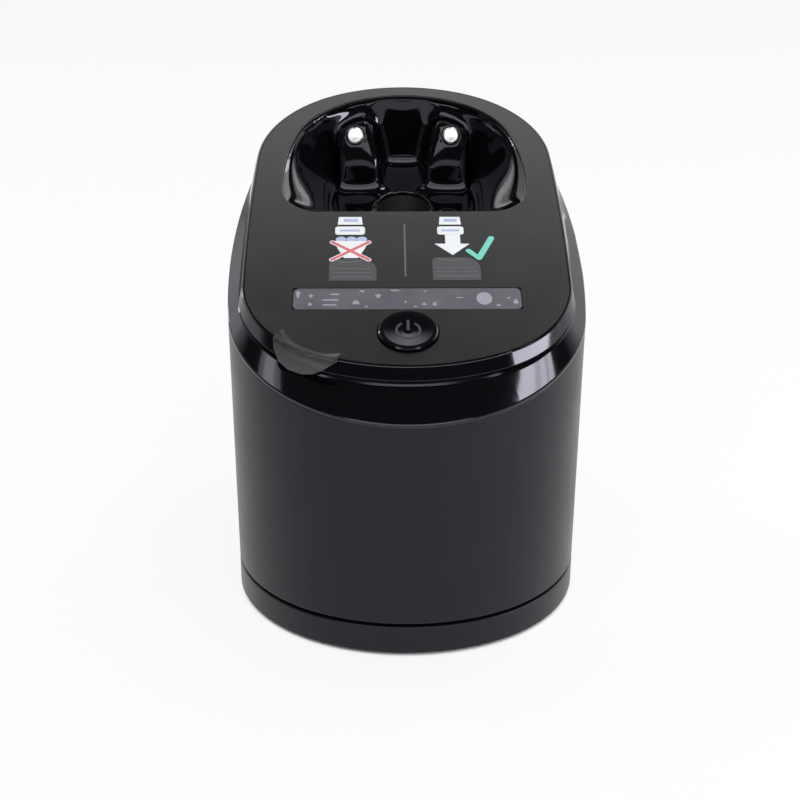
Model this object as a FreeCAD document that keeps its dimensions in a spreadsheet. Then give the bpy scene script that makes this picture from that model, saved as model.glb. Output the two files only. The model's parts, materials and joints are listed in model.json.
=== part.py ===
"""Shaver cleaning station: a lift-up housing with a moulded cradle over a fluid cartridge.

Millimetres. +X is right, +Y is towards the back and +Z is up. The origin is on the table
under the middle of the station. Pieces of the sloping top are modelled in its own frame:
x across, y up the slope and z square to the panel face, which is z = 0 there.
"""
import FreeCAD, Part
import math
import os
import Sketcher

Vector = FreeCAD.Vector
Rotation = FreeCAD.Rotation
Placement = FreeCAD.Placement

# ---------------------------------------------------------------- driving dimensions

SIZES = {
    # casing, seen from above
    "body_half_width": 55.0,
    "body_front": 78.5,
    "body_rear": 78.5,
    "wall_lean": 1.0,            # how far the wall steps in from its top edge to its foot
    "wall": 2.4,
    "base_widest": 15.2,         # the widest station lies this far in front of the middle
    "base_flank_radius": 268.0,
    "base_front_short": 3.2,     # how far a corner's radius falls short of the half width
    "base_front_crown": 0.8,     # how far the end bulges beyond its corners
    "base_rear_short": 11.1,
    "base_rear_crown": 1.0,
    # sloping top
    "top_tilt": 21.0,
    "panel_height": 111.6,       # panel face over the origin
    "ring_drop": 7.2,            # panel face down to the wall's top edge, square to the panel
    "band_drop": 3.9,            # panel face down to the foot of the bright band
    "ring_widest": 13.8,
    "ring_flank_radius": 256.0,
    "ring_front_short": 2.6,
    "ring_front_crown": 0.5,
    "ring_rear_short": 10.1,
    "ring_rear_crown": 0.8,
    "bevel_side": 5.0,
    "bevel_front": 13.8,
    "bevel_rear": 2.6,
    "band_step": 1.35,
    "ring_land": 0.6,            # upright edge of the bevel where it meets the wall
    "panel_widest": 6.0,
    "panel_flank_radius": 900.0,
    "panel_front_short": 14.5,
    "panel_front_crown": 2.9,
    "panel_rear_short": 5.1,
    "panel_rear_crown": 0.8,
    "panel_rim": 0.7,            # bright rim of the cover round the face plate
    "panel_thickness": 1.2,
    "cover_thickness": 1.6,
    "shadow_gap": 0.6,
    "groove_depth": 0.8,
    "spigot_depth": 3.2,
    "spigot_wall": 1.6,
    "cover_spigot_depth": 2.0,
    "cover_spigot_wall": 1.2,
    "cover_spigot_taper": 0.9,
    "fit_gap": 0.25,
    "edge_round": 0.45,
    # cradle mouth
    "opening_side_rim": 10.1,
    "opening_widest": 24.7,
    "opening_flank_radius": 91.0,
    "opening_front": 5.5,
    "opening_front_short": 27.2,
    "opening_front_crown": 0.02,
    "opening_rear_rim": 6.1,
    "opening_rear_short": 6.1,
    "opening_rear_crown": 1.0,
    # cradle
    "cradle_overhang": 0.3,      # how far the face plate hides the cradle's rim
    "cradle_wall": 1.6,
    "cradle_relief": 1.0,        # how far forward the underside sits, clear of the back wall
    "cradle_depth": 24.0,
    "cradle_flange": 2.8,
    "cradle_flange_thickness": 1.1,
    "cradle_flange_shift": 0.7,  # how far forward the flange sits, clear of the cover's rear
    "seat_side_draft": 10.4,
    "seat_widest": 66.0,
    "seat_flank_radius": 60.0,
    "seat_front": 20.0,
    "seat_front_corner": 12.0,
    "seat_front_setback": 13.0,
    "seat_rear_draft": 6.3,
    "seat_rear_corner": 14.0,
    "seat_rear_setback": 15.0,
    "lobe_lean": 36.0,           # lean of the lobe's front face from square to the panel
    "lobe_outer": 23.3,
    "lobe_inner_top": 11.0,
    "lobe_inner_waist": 7.2,
    "lobe_inner_foot": 9.6,
    "lobe_top_drop": 1.5,
    "lobe_shoulder_drop": 5.4,
    "lobe_waist_drop": 16.0,
    "lobe_shoulder_round": 5.0,
    "lobe_top_round": 2.6,
    "lobe_waist_round": 8.0,
    "lobe_front_round": 1.6,
    "stud_spacing": 33.6,
    "stud_drop": 7.5,
    "stud_station": 61.0,
    "stud_radius": 2.9,
    "stud_length": 7.0,
    "stud_proud": 1.0,
    "stud_spring_length": 2.0,
    "stud_clearance": 0.08,
    "stud_edge": 0.6,
    "stud_crown": 0.3,
    "spring_wire": 0.5,
    # drain under the cradle
    "well_radius": 9.0,
    "well_station": 47.5,        # behind the middle of the station
    "well_wall": 2.0,
    "well_drop": 27.6,           # cup floor below the panel's middle
    "spout_radius": 4.0,
    "spout_wall": 1.2,
    "spout_gap": 2.5,
    "strainer_thickness": 1.2,
    "strainer_hole": 0.9,
    "strainer_ring_radius": 5.2,
    # display and button
    "display_width": 68.0,
    "display_height": 9.9,
    "display_station": 38.7,
    "display_corner": 1.8,
    "lens_thickness": 1.0,
    "window_gap": 0.15,
    "window_ledge": 1.4,
    "light_guide_flange": 1.4,
    "button_station": 54.1,
    "button_radius": 8.7,
    "button_gap": 0.5,
    "button_proud": 1.0,
    "button_dish": 0.5,
    "button_rim": 1.5,
    "button_travel": 0.6,
    "button_flange": 1.3,
    "stem_radius": 2.4,
    "button_edge": 0.4,
    "button_spring_radius": 5.0,
    # control board
    "board_drop": 8.0,
    "board_thickness": 1.6,
    "board_half_width": 28.0,
    "board_front": 60.0,
    "board_rear": 27.0,
    "post_radius": 2.6,
    "post_inset": 3.2,
    "screw_radius": 1.3,
    "screw_head_radius": 2.4,
    "screw_head_height": 1.5,
    "screw_shank": 1.25,
    "screw_tip_gap": 1.0,
    "column_screw_length": 5.0,
    "switch_width": 6.0,
    "switch_height": 2.4,
    "led_width": 1.6,
    "led_height": 0.8,
    "led_pitch": 14.0,
    # plinth
    "foot_height": 1.0,
    "foot_radius": 6.0,
    "foot_recess": 0.8,
    "foot_inset": 18.0,
    "foot_station": 46.0,
    "plinth_top": 9.8,
    "plinth_gap": 1.0,
    "tray_floor": 2.0,
    "tray_spigot_height": 4.0,
    "tray_spigot_wall": 1.5,
    "bridge_half_width": 24.0,
    "bridge_front": 57.5,
    "bridge_rear": 70.0,
    "bridge_height": 10.2,
    # power inlet
    "inlet_half_width": 8.0,
    "inlet_height": 6.4,
    "inlet_depth": 13.0,
    "inlet_wall": 0.9,
    "inlet_mouth": 9.6,
    "inlet_inset": 1.0,
    "inlet_pin_radius": 0.7,
    "inlet_pin_length": 4.6,
    "inlet_pin_spacing": 6.0,
    # guide column and carriage
    "column_half_width": 14.0,
    "column_front": 61.5,
    "column_rear": 67.0,
    "column_web": 2.0,
    "column_flange": 3.0,
    "column_drop": 15.6,         # column top below the panel's middle
    "column_foot_front": 58.0,
    "column_foot_rear": 69.4,
    "column_foot_half_width": 20.5,
    "column_foot_thickness": 2.5,
    "column_screw_side": 17.5,
    "column_screw_front": 60.6,
    "column_screw_rear": 66.8,
    "notch_drop": 25.1,
    "notch_height": 6.0,
    "notch_half_width": 5.0,
    "guide_gap": 0.2,
    "shoe_wall": 2.0,
    "shoe_lip": 2.2,
    "guide_lip_wall": 1.1,
    "shoe_bottom": 16.0,
    "shoe_height": 30.0,
    "arm_wall": 4.2,
    "arm_front": 59.8,
    "arm_rear": 68.6,
    # chassis
    "deck_height": 54.0,
    "deck_thickness": 2.5,
    "deck_clearance": 1.2,
    "slot_gap": 1.2,
    "boss_front": 24.0,
    "boss_rear": 6.0,
    "boss_half_length": 4.0,
    "boss_width": 12.0,
    "boss_reach": 1.7,
    "boss_height": 10.0,
    "latch_tab_half_width": 5.0,
    "latch_tab_height": 10.0,
    "latch_tab_thickness": 1.6,
    # release button
    "release_drop": 10.6,        # button's axis below the panel's middle
    "release_radius": 6.0,
    "release_half_length": 6.0,
    "release_gap": 0.3,
    "release_face": 78.0,
    "release_inner": 75.0,
    "release_stem_radius": 2.4,
    "release_stem_tip": 64.9,
    "collar_wall": 1.4,
    "collar_end": 71.4,
    "retainer_thickness": 1.0,
    "leaf_thickness": 0.6,
    "leaf_half_width": 4.0,
    "leaf_nose": 1.4,
    # cartridge
    "cartridge_room": 8.0,
    "cartridge_rear": 57.0,
    "cartridge_rear_corner": 14.0,
    "cartridge_rear_setback": 14.6,
    "cartridge_drop": 12.0,      # tank's rim below the deck
    "cartridge_wall": 1.8,
    "lid_thickness": 2.0,
    "lid_skirt": 3.0,
    "lid_gap": 0.2,
    "lid_wall": 1.6,
    "drain_mouth": 6.4,
    "filter_radius": 7.2,
    "filter_wall": 1.2,
    "filter_length": 27.0,
    # pump
    "pump_station": 34.0,
    "pump_radius": 10.0,
    "pump_wall": 2.0,
    "pump_bottom": 9.0,
    "pump_intake": 3.0,
    "pump_flange_radius": 15.0,
    "pump_flange_thickness": 2.0,
    "port_gap": 1.6,
    "seal_width": 3.0,
    "seal_gap": 0.6,
    "seal_height": 1.2,
    "shaft_radius": 1.5,
    "shaft_clearance": 0.05,
    "shaft_bottom": 12.6,
    "shaft_bite": 4.0,           # shaft's end above the motor's foot
    "bearing_height": 3.4,
    "impeller_radius": 6.8,
    "impeller_height": 4.0,
    "impeller_hub": 2.8,
    "impeller_blade": 1.0,
    "impeller_plate": 1.2,
    "motor_radius": 12.0,
    "motor_drop": 32.6,          # motor's top below the panel's middle
    "motor_boss_radius": 5.0,
    "gasket_thickness": 1.5,
    "gasket_radius": 13.0,
    "clamp_wall": 1.4,
    "clamp_height": 11.0,
    "clamp_ear": 7.0,
    "clamp_ear_thickness": 1.6,
    "riser_radius": 2.5,
    "riser_wall": 0.8,
    "riser_bend": 5.0,
    "riser_side": 19.0,
    "riser_port_drop": 6.0,      # stem's outlet below the deck
    "riser_drop": 35.6,          # level run below the panel's middle
    "nozzle_side": 15.0,
    "nozzle_along": 35.0,
    "nozzle_neck": 3.2,
    "nozzle_height": 2.0,
}

BLADES = 6
STRAINER_HOLES = 8
SPRING_TURNS = 3
LIGHTS = 4
BOSS_HOLE_SHARE = 0.8            # depth of a boss's hole as a share of its height
SWITCH_CASE_SHARE = 0.7          # height of the switch's case as a share of the whole
PLUNGER_SHARE = 0.7              # radius of its plunger as a share of the button's stem

CUTS = ("PartDesign::Pocket", "PartDesign::SubtractiveLoft", "PartDesign::Groove")
SMALLEST_CUT = 0.01              # cubic millimetres
NEAR = 0.02                      # two places this near are one
AT_LOBE = 0.05                   # an edge this near a lobe's face or corner belongs to it
ALIGNED = 0.999                  # cosine between two directions that are taken as one
ROLLED_TURNS = (35, 70)          # where the ring's rolled edge has its facets, in degrees
ROLLED_LEAN = 0.6                # how much more it is rolled in front than at the sides

document = FreeCAD.newDocument("cleaning_station")


def make_sheet():
    """The driving dimensions, one aliased cell each."""
    sheet = document.addObject("Spreadsheet::Sheet", "Sizes")
    for row, (alias, length) in enumerate(SIZES.items(), start=1):
        sheet.set("A%d" % row, alias)
        sheet.set("B%d" % row, str(length))
        sheet.setAlias("B%d" % row, alias)
    document.recompute()
    return sheet


sheet = make_sheet()


def value(expression):
    """The number that an expression of the sheet's sizes gives now."""
    result = sheet.evalExpression(expression)
    return float(getattr(result, "Value", result))


def total(*terms):
    """An expression that adds its terms."""
    return " + ".join("(%s)" % term for term in terms)


def less(first, *others):
    """An expression that takes the others from the first."""
    return " - ".join("(%s)" % term for term in (first,) + others)


# ---------------------------------------------------------------- places that follow

TILT = "Sizes.top_tilt"
TRAY_BOTTOM = "Sizes.foot_height"
TRAY_INSIDE = "Sizes.foot_height + Sizes.tray_floor"
WALL_BOTTOM = "Sizes.plinth_top + Sizes.plinth_gap"
BASE_HALF_WIDTH = "Sizes.body_half_width - Sizes.wall_lean"
DECK_TOP = "Sizes.deck_height + Sizes.deck_thickness"
COLUMN_FOOT_TOP = "Sizes.bridge_height + Sizes.column_foot_thickness"
COLUMN_TOP = "Sizes.panel_height - Sizes.column_drop"
NOTCH_BOTTOM = "Sizes.panel_height - Sizes.notch_drop"
RELEASE_HEIGHT = "Sizes.panel_height - Sizes.release_drop"
WELL_FLOOR = "Sizes.panel_height - Sizes.well_drop"
CARTRIDGE_TOP = "Sizes.deck_height - Sizes.cartridge_drop"
COVER_TOP = "-Sizes.panel_thickness"
COVER_DECK = "-Sizes.panel_thickness - Sizes.cover_thickness"
BOARD_TOP = "-Sizes.board_drop"
BOARD_BOTTOM = "-Sizes.board_drop - Sizes.board_thickness"
CRADLE_FLOOR = "-Sizes.cradle_depth"
CRADLE_UNDER = "-Sizes.cradle_depth - Sizes.cradle_wall"
LID_TOP = total(CARTRIDGE_TOP, "Sizes.lid_thickness")
SPOUT_BOTTOM = total(LID_TOP, "Sizes.spout_gap")
MOTOR_BOTTOM = total(DECK_TOP, "Sizes.gasket_thickness")
MOTOR_TOP = "Sizes.panel_height - Sizes.motor_drop"
SHAFT_TOP = total(MOTOR_BOTTOM, "Sizes.shaft_bite")
RISER_LOW = "Sizes.deck_height - Sizes.riser_port_drop"
RISER_HIGH = "Sizes.panel_height - Sizes.riser_drop"
BOSS_INNER = total(BASE_HALF_WIDTH, "-Sizes.boss_width")
BEVEL_TOP = "-Sizes.band_drop - Sizes.shadow_gap"
BAND_SLIP = "-Sizes.band_drop * tan(Sizes.top_tilt)"
NOZZLE_LOW = "-Sizes.cradle_depth - Sizes.cradle_wall - Sizes.nozzle_height"


def up_slope(plan, drop):
    """Place up the slope of a point whose plan position and height off the panel are given."""
    return "((%s) + (%s) * sin(%s)) / cos(%s)" % (plan, drop, TILT, TILT)


RING_LEVEL = "-Sizes.ring_drop"


def oval(name, half_width, widest, front, rear):
    """The measures of an oval whose corners follow its half width."""
    outline = {"half_width": half_width, "widest": widest,
               "flank": "Sizes.%s_flank_radius" % name, "front": front, "rear": rear}
    for end in ("front", "rear"):
        corner = less(half_width, "Sizes.%s_%s_short" % (name, end))
        outline[end + "_corner"] = corner
        outline[end + "_setback"] = total(corner, "Sizes.%s_%s_crown" % (name, end))
    return outline


BASE = oval("base", BASE_HALF_WIDTH, "-Sizes.base_widest",
            "Sizes.body_front - Sizes.wall_lean", "Sizes.body_rear - Sizes.wall_lean")

RING = oval("ring", "Sizes.body_half_width", "-Sizes.ring_widest",
            "-1 * " + up_slope("-Sizes.body_front", RING_LEVEL),
            up_slope("Sizes.body_rear", RING_LEVEL))

PANEL = oval("panel", "Sizes.body_half_width - Sizes.bevel_side", "-Sizes.panel_widest",
             "-1 * " + up_slope("Sizes.bevel_front - Sizes.body_front", "0"),
             up_slope("Sizes.body_rear - Sizes.bevel_rear", "0"))

OPENING = oval("opening", less(PANEL["half_width"], "Sizes.opening_side_rim"),
               "Sizes.opening_widest", "-Sizes.opening_front",
               less(PANEL["rear"], "Sizes.opening_rear_rim"))

SEAT = {
    "half_width": less(OPENING["half_width"], "Sizes.seat_side_draft"),
    "widest": "Sizes.seat_widest",
    "flank": "Sizes.seat_flank_radius",
    "front": "-Sizes.seat_front",
    "front_corner": "Sizes.seat_front_corner",
    "front_setback": "Sizes.seat_front_setback",
    "rear": less(OPENING["rear"], "Sizes.seat_rear_draft"),
    "rear_corner": "Sizes.seat_rear_corner",
    "rear_setback": "Sizes.seat_rear_setback",
}

CARTRIDGE = {
    "half_width": less(BASE["half_width"], "Sizes.cartridge_room"),
    "widest": BASE["widest"],
    "flank": less(BASE["flank"], "Sizes.cartridge_room"),
    "front": less(BASE["front"], "Sizes.cartridge_room"),
    "front_corner": less(BASE["front_corner"], "Sizes.cartridge_room"),
    "front_setback": less(BASE["front_setback"], "Sizes.cartridge_room"),
    "rear": "Sizes.cartridge_rear",
    "rear_corner": "Sizes.cartridge_rear_corner",
    "rear_setback": "Sizes.cartridge_rear_setback",
}


# ---------------------------------------------------------------- bodies and sketches

def new_body(label, on_top=False):
    """A body at the origin, or in the frame of the sloping top."""
    body = document.addObject("PartDesign::Body", label)
    body.Label = label
    if on_top:
        body.Placement = Placement(Vector(), Rotation(Vector(1, 0, 0), 1))
        body.setExpression("Placement.Base.z", "Sizes.panel_height")
        body.setExpression("Placement.Rotation.Angle", TILT)
    return body


def new_sketch(body, name, level="0", plane="XY_Plane"):
    """A sketch on one of the body's own origin planes, raised by the level."""
    sketch = body.newObject("Sketcher::SketchObject", body.Name + "_" + name)
    support = next(item for item in body.Origin.OriginFeatures if item.Role == plane)
    sketch.AttachmentSupport = (support, [""])
    sketch.MapMode = "FlatFace"
    sketch.setExpression("AttachmentOffset.Base.z", level)
    return sketch


def tip_sketch(sketch, angle, across):
    """Tips a sketch about its own x axis and moves it up its plane."""
    sketch.AttachmentOffset = Placement(Vector(), Rotation(Vector(1, 0, 0), 1))
    sketch.setExpression("AttachmentOffset.Rotation.Angle", angle)
    sketch.setExpression("AttachmentOffset.Base.y", across)


def sloping_sketch(body, name, drop):
    """A sketch parallel to the panel face, in a body that stands at the origin."""
    level = "Sizes.panel_height + (%s) * cos(%s)" % (drop, TILT)
    sketch = new_sketch(body, name, level)
    tip_sketch(sketch, TILT, "-1 * (%s) * sin(%s)" % (drop, TILT))
    return sketch


def bind(sketch, kind, arguments, expression):
    """Adds a dimension to the sketch and ties it to the sheet."""
    index = sketch.addConstraint(Sketcher.Constraint(kind, *arguments, value(expression)))
    sketch.setExpression("Constraints[%d]" % index, expression)


def add_polygon(sketch, points):
    """A closed outline whose corners are pairs of expressions."""
    corners = [Vector(value(x), value(y), 0) for x, y in points]
    first = sketch.GeometryCount
    count = len(corners)
    for index, corner in enumerate(corners):
        sketch.addGeometry(Part.LineSegment(corner, corners[(index + 1) % count]), False)
    for index in range(count):
        following = first + (index + 1) % count
        sketch.addConstraint(Sketcher.Constraint("Coincident", first + index, 2, following, 1))
    for index, (x, y) in enumerate(points):
        bind(sketch, "DistanceX", (-1, 1, first + index, 1), x)
        bind(sketch, "DistanceY", (-1, 1, first + index, 1), y)


def rectangle(x_low, x_high, y_low, y_high):
    """Corner expressions of an upright rectangle."""
    return [(x_low, y_low), (x_high, y_low), (x_high, y_high), (x_low, y_high)]


def centred(half_width):
    """Low and high x of a band that is centred on the axis."""
    return "-1 * (%s)" % half_width, half_width


def add_circle(sketch, x, y, radius):
    """A circle whose centre and radius are expressions."""
    centre = Vector(value(x), value(y), 0)
    index = sketch.addGeometry(Part.Circle(centre, Vector(0, 0, 1), value(radius)), False)
    bind(sketch, "DistanceX", (-1, 1, index, 3), x)
    bind(sketch, "DistanceY", (-1, 1, index, 3), y)
    bind(sketch, "Radius", (index,), radius)


def add_slot(sketch, y, half_length, radius):
    """An obround that lies across the axis, with its centre at height y."""
    height = value(y)
    reach = value(half_length)
    size = value(radius)
    up = Vector(0, size, 0)
    right = Vector(reach, height, 0)
    left = Vector(-reach, height, 0)
    axis = Vector(0, 0, 1)
    quarter = math.pi / 2
    right_end = Part.ArcOfCircle(Part.Circle(right, axis, size), -quarter, quarter)
    left_end = Part.ArcOfCircle(Part.Circle(left, axis, size), quarter, 3 * quarter)
    first = sketch.GeometryCount
    sketch.addGeometry(right_end, False)
    sketch.addGeometry(Part.LineSegment(right + up, left + up), False)
    sketch.addGeometry(left_end, False)
    sketch.addGeometry(Part.LineSegment(left - up, right - up), False)
    for index in range(4):
        following = first + (index + 1) % 4
        sketch.addConstraint(Sketcher.Constraint("Tangent", first + index, 2, following, 1))
    sketch.addConstraint(Sketcher.Constraint("Equal", first, first + 2))
    bind(sketch, "Radius", (first,), radius)
    bind(sketch, "DistanceX", (-1, 1, first, 3), half_length)
    bind(sketch, "DistanceY", (-1, 1, first, 3), y)
    bind(sketch, "DistanceX", (first + 2, 3, -1, 1), half_length)
    bind(sketch, "DistanceY", (-1, 1, first + 2, 3), y)


def add_arc(sketch, centre, radius, start, end):
    """An arc from start to end, turning left about its centre."""
    angles = [math.atan2(point.y - centre.y, point.x - centre.x) for point in (start, end)]
    circle = Part.Circle(centre, Vector(0, 0, 1), radius)
    return sketch.addGeometry(Part.ArcOfCircle(circle, angles[0], angles[1]), False)


def end_of_oval(flank_centre, flank_radius, end, corner, setback, side):
    """Corner centre, end radius and the two joints of one end of an oval, on the right."""
    height = side * (end - setback)
    reach = flank_radius - corner
    across = math.sqrt(reach ** 2 - (height - flank_centre.y) ** 2)
    corner_centre = Vector(flank_centre.x + across, height, 0)
    radius = (corner_centre.x ** 2 + setback ** 2 - corner ** 2) / (2 * (setback - corner))
    end_centre = Vector(0, side * (end - radius), 0)
    on_end = end_centre + (corner_centre - end_centre).normalize() * radius
    on_flank = flank_centre + (corner_centre - flank_centre).normalize() * flank_radius
    return corner_centre, end_centre, radius, on_end, on_flank


def add_oval(sketch, outline, inset="0", slip="0"):
    """A closed oval of eight tangent arcs: two ends, four corners and two flanks.

    Its ends and widest station are set from the origin. Inset moves it inwards all round,
    and slip moves it up the sketch.
    """
    size = {name: value(expression) for name, expression in outline.items()}
    step = value(inset)
    move = Vector(0, value(slip), 0)
    flank = size["flank"]
    flank_centre = Vector(size["half_width"] - flank, size["widest"], 0)
    front = end_of_oval(flank_centre, flank, size["front"], size["front_corner"],
                        size["front_setback"], -1)
    rear = end_of_oval(flank_centre, flank, size["rear"], size["rear_corner"],
                       size["rear_setback"], 1)

    def mirror(point):
        return Vector(-point.x, point.y, 0)

    def place(centre, radius, start, end):
        def shrink(point):
            return centre + (point - centre).normalize() * (radius - step) + move
        return add_arc(sketch, centre + move, radius - step, shrink(start), shrink(end))

    front_corner, front_centre, front_radius, front_joint, front_flank = front
    rear_corner, rear_centre, rear_radius, rear_joint, rear_flank = rear
    arcs = [
        place(front_centre, front_radius, mirror(front_joint), front_joint),
        place(front_corner, size["front_corner"], front_joint, front_flank),
        place(flank_centre, flank, front_flank, rear_flank),
        place(rear_corner, size["rear_corner"], rear_flank, rear_joint),
        place(rear_centre, rear_radius, rear_joint, mirror(rear_joint)),
        place(mirror(rear_corner), size["rear_corner"], mirror(rear_joint), mirror(rear_flank)),
        place(mirror(flank_centre), flank, mirror(rear_flank), mirror(front_flank)),
        place(mirror(front_corner), size["front_corner"], mirror(front_flank),
              mirror(front_joint)),
    ]
    tie_oval(sketch, arcs, outline, inset, slip)


def tie_oval(sketch, arcs, outline, inset, slip):
    """The tangencies and dimensions that hold an oval."""
    for index, arc in enumerate(arcs):
        following = arcs[(index + 1) % len(arcs)]
        sketch.addConstraint(Sketcher.Constraint("Tangent", arc, 2, following, 1))
    corners = {1: "front_corner", 3: "rear_corner", 5: "rear_corner", 7: "front_corner"}
    for index, name in corners.items():
        bind(sketch, "Radius", (arcs[index],), less(outline[name], inset))
    flank_reach = less(outline["flank"], outline["half_width"])
    flank_height = total(outline["widest"], slip)
    for index in (2, 6):
        bind(sketch, "Radius", (arcs[index],), less(outline["flank"], inset))
        bind(sketch, "DistanceY", (-1, 1, arcs[index], 3), flank_height)
    bind(sketch, "DistanceX", (arcs[2], 3, -1, 1), flank_reach)
    bind(sketch, "DistanceX", (-1, 1, arcs[6], 3), flank_reach)
    front = less(inset, outline["front"])
    rear = less(outline["rear"], inset)
    front_setback = less(outline["front_setback"], outline["front"])
    rear_setback = less(outline["rear"], outline["rear_setback"])
    for arc, corner, end, setback in ((arcs[0], arcs[1], front, front_setback),
                                      (arcs[4], arcs[3], rear, rear_setback)):
        crown = sketch.addGeometry(Part.Point(Vector(0, value(total(end, slip)), 0)), True)
        sketch.addConstraint(Sketcher.Constraint("PointOnObject", crown, 1, arc))
        sketch.addConstraint(Sketcher.Constraint("PointOnObject", crown, 1, -2))
        sketch.addConstraint(Sketcher.Constraint("PointOnObject", arc, 3, -2))
        bind(sketch, "DistanceY", (-1, 1, crown, 1), total(end, slip))
        bind(sketch, "DistanceY", (-1, 1, corner, 3), total(setback, slip))


def oval_sketch(body, name, outline, inset="0", level="0", slip="0"):
    """An oval on a plane of the body at the level."""
    sketch = new_sketch(body, name, level)
    add_oval(sketch, outline, inset, slip)
    return sketch


# ---------------------------------------------------------------- features

def extrude(body, kind, sketch, length, reverse=False):
    """A pad or pocket of the sketch."""
    feature = body.newObject("PartDesign::" + kind, sketch.Name + "_" + kind.lower())
    feature.Profile = sketch
    feature.Reversed = reverse
    feature.setExpression("Length", length)
    body.Tip = feature
    return feature


def pad(body, sketch, length):
    """Material from the sketch along its normal."""
    return extrude(body, "Pad", sketch, length)


def pad_down(body, sketch, length):
    """Material from the sketch against its normal."""
    return extrude(body, "Pad", sketch, length, True)


def pocket(body, sketch, length):
    """A cut from the sketch against its normal."""
    return extrude(body, "Pocket", sketch, length)


def pocket_up(body, sketch, length):
    """A cut from the sketch along its normal."""
    return extrude(body, "Pocket", sketch, length, True)


def loft(body, kind, first, second, ruled=True):
    """A loft between two sketches, added to the body or cut from it."""
    feature = body.newObject("PartDesign::" + kind, second.Name + "_loft")
    feature.Profile = first
    feature.Sections = [second]
    feature.Ruled = ruled
    body.Tip = feature
    return feature


def revolve(body, sketch, kind="Revolution"):
    """A full turn of the sketch about its own upright axis."""
    feature = body.newObject("PartDesign::" + kind, sketch.Name + "_turn")
    feature.Profile = sketch
    feature.ReferenceAxis = (sketch, ["V_Axis"])
    feature.Angle = 360.0
    body.Tip = feature
    return feature


def turned(label, points, on_top=False):
    """A body of revolution; the points are pairs of radius and height."""
    body = new_body(label, on_top)
    sketch = new_sketch(body, "profile", plane="XZ_Plane")
    add_polygon(sketch, points)
    revolve(body, sketch)
    return body


def tube_profile(inner, outer, low, high):
    """Profile of a plain ring."""
    return rectangle(inner, outer, low, high)


def put(item, x="0", y="0", z="0"):
    """Ties an object's place to the sheet."""
    item.setExpression("Placement.Base.x", x)
    item.setExpression("Placement.Base.y", y)
    item.setExpression("Placement.Base.z", z)


def put_on_top(item, across, along, height, lean=TILT):
    """Ties an object's place to a point of the sloping top's frame."""
    item.Placement = Placement(Vector(), Rotation(Vector(1, 0, 0), 1))
    put(item, across,
        "(%s) * cos(%s) - (%s) * sin(%s)" % (along, TILT, height, TILT),
        "Sizes.panel_height + (%s) * sin(%s) + (%s) * cos(%s)" % (along, TILT, height, TILT))
    item.setExpression("Placement.Rotation.Angle", lean)


def round_edges(body, name, edges, radius):
    """A fillet on edges of the body's last feature."""
    base = body.Tip
    feature = body.newObject("PartDesign::Fillet", body.Name + "_" + name)
    feature.Base = (base, edges)
    feature.setExpression("Radius", radius)
    body.Tip = feature
    return feature


def edges_where(body, test):
    """Names of the tip's edges that pass the test."""
    document.recompute()
    edges = body.Tip.Shape.Edges
    return ["Edge%d" % (index + 1) for index, edge in enumerate(edges) if test(edge)]


def level_with(height):
    """A point and the normal of a level plane in the body's frame."""
    return Vector(0, 0, value(height)), Vector(0, 0, 1)


def sloping_plane(drop):
    """A point and the normal of a plane parallel to the panel, for a body at the origin."""
    tilt = math.radians(value(TILT))
    normal = Vector(0, -math.sin(tilt), math.cos(tilt))
    return Vector(0, 0, value("Sizes.panel_height")) + normal * value(drop), normal


def loop_edges(body, plane, rank=0):
    """Names of the edges of a loop in a plane; rank 0 is the longest loop there."""
    point, normal = plane

    def in_plane(edge):
        places = [vertex.Point for vertex in edge.Vertexes] + [edge.CenterOfMass]
        return all(abs((place - point).dot(normal)) < NEAR for place in places)

    document.recompute()
    flat = [edge for edge in body.Tip.Shape.Edges if in_plane(edge)]
    loops = sorted(Part.sortEdges(flat), key=lambda loop: -sum(edge.Length for edge in loop))
    middles = [edge.CenterOfMass for edge in loops[rank]]

    def in_loop(edge):
        return in_plane(edge) and any((edge.CenterOfMass - middle).Length < NEAR
                                      for middle in middles)
    return edges_where(body, in_loop)


def round_loop(body, name, plane, rank=0, radius="Sizes.edge_round"):
    """A small radius along a loop of edges."""
    return round_edges(body, name, loop_edges(body, plane, rank), radius)


def is_upright(edge):
    """Whether an edge is straight and stands along the body's z axis."""
    if not isinstance(edge.Curve, Part.Line):
        return False
    return abs(edge.Curve.Direction.z) > ALIGNED


def group(label, members):
    """Separate solids that share one node."""
    compound = document.addObject("Part::Compound", label)
    compound.Label = label
    compound.Links = members
    return compound


def cylinder(name, radius, height):
    """An upright cylinder."""
    item = document.addObject("Part::Cylinder", name)
    item.setExpression("Radius", radius)
    item.setExpression("Height", height)
    return item


def box(name, width, depth, height):
    """A box from its lowest corner."""
    item = document.addObject("Part::Box", name)
    item.setExpression("Length", width)
    item.setExpression("Width", depth)
    item.setExpression("Height", height)
    return item


# ---------------------------------------------------------------- casing of the top

def make_outer_shell():
    """Satin wall: lofted from its level foot to its sloping top edge, hollow and open."""
    body = new_body("outer_shell")
    foot = oval_sketch(body, "foot", BASE, level=WALL_BOTTOM)
    edge = sloping_sketch(body, "edge", RING_LEVEL)
    add_oval(edge, RING)
    loft(body, "AdditiveLoft", foot, edge)
    foot_inside = oval_sketch(body, "foot_inside", BASE, "Sizes.wall", WALL_BOTTOM)
    edge_inside = sloping_sketch(body, "edge_inside", RING_LEVEL)
    add_oval(edge_inside, RING, "Sizes.wall")
    loft(body, "SubtractiveLoft", foot_inside, edge_inside)
    round_loop(body, "foot_edge", level_with(WALL_BOTTOM))
    round_loop(body, "top_edge", sloping_plane(RING_LEVEL))
    add_shell_bosses(body)
    add_release_collar(body)
    return body


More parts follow.
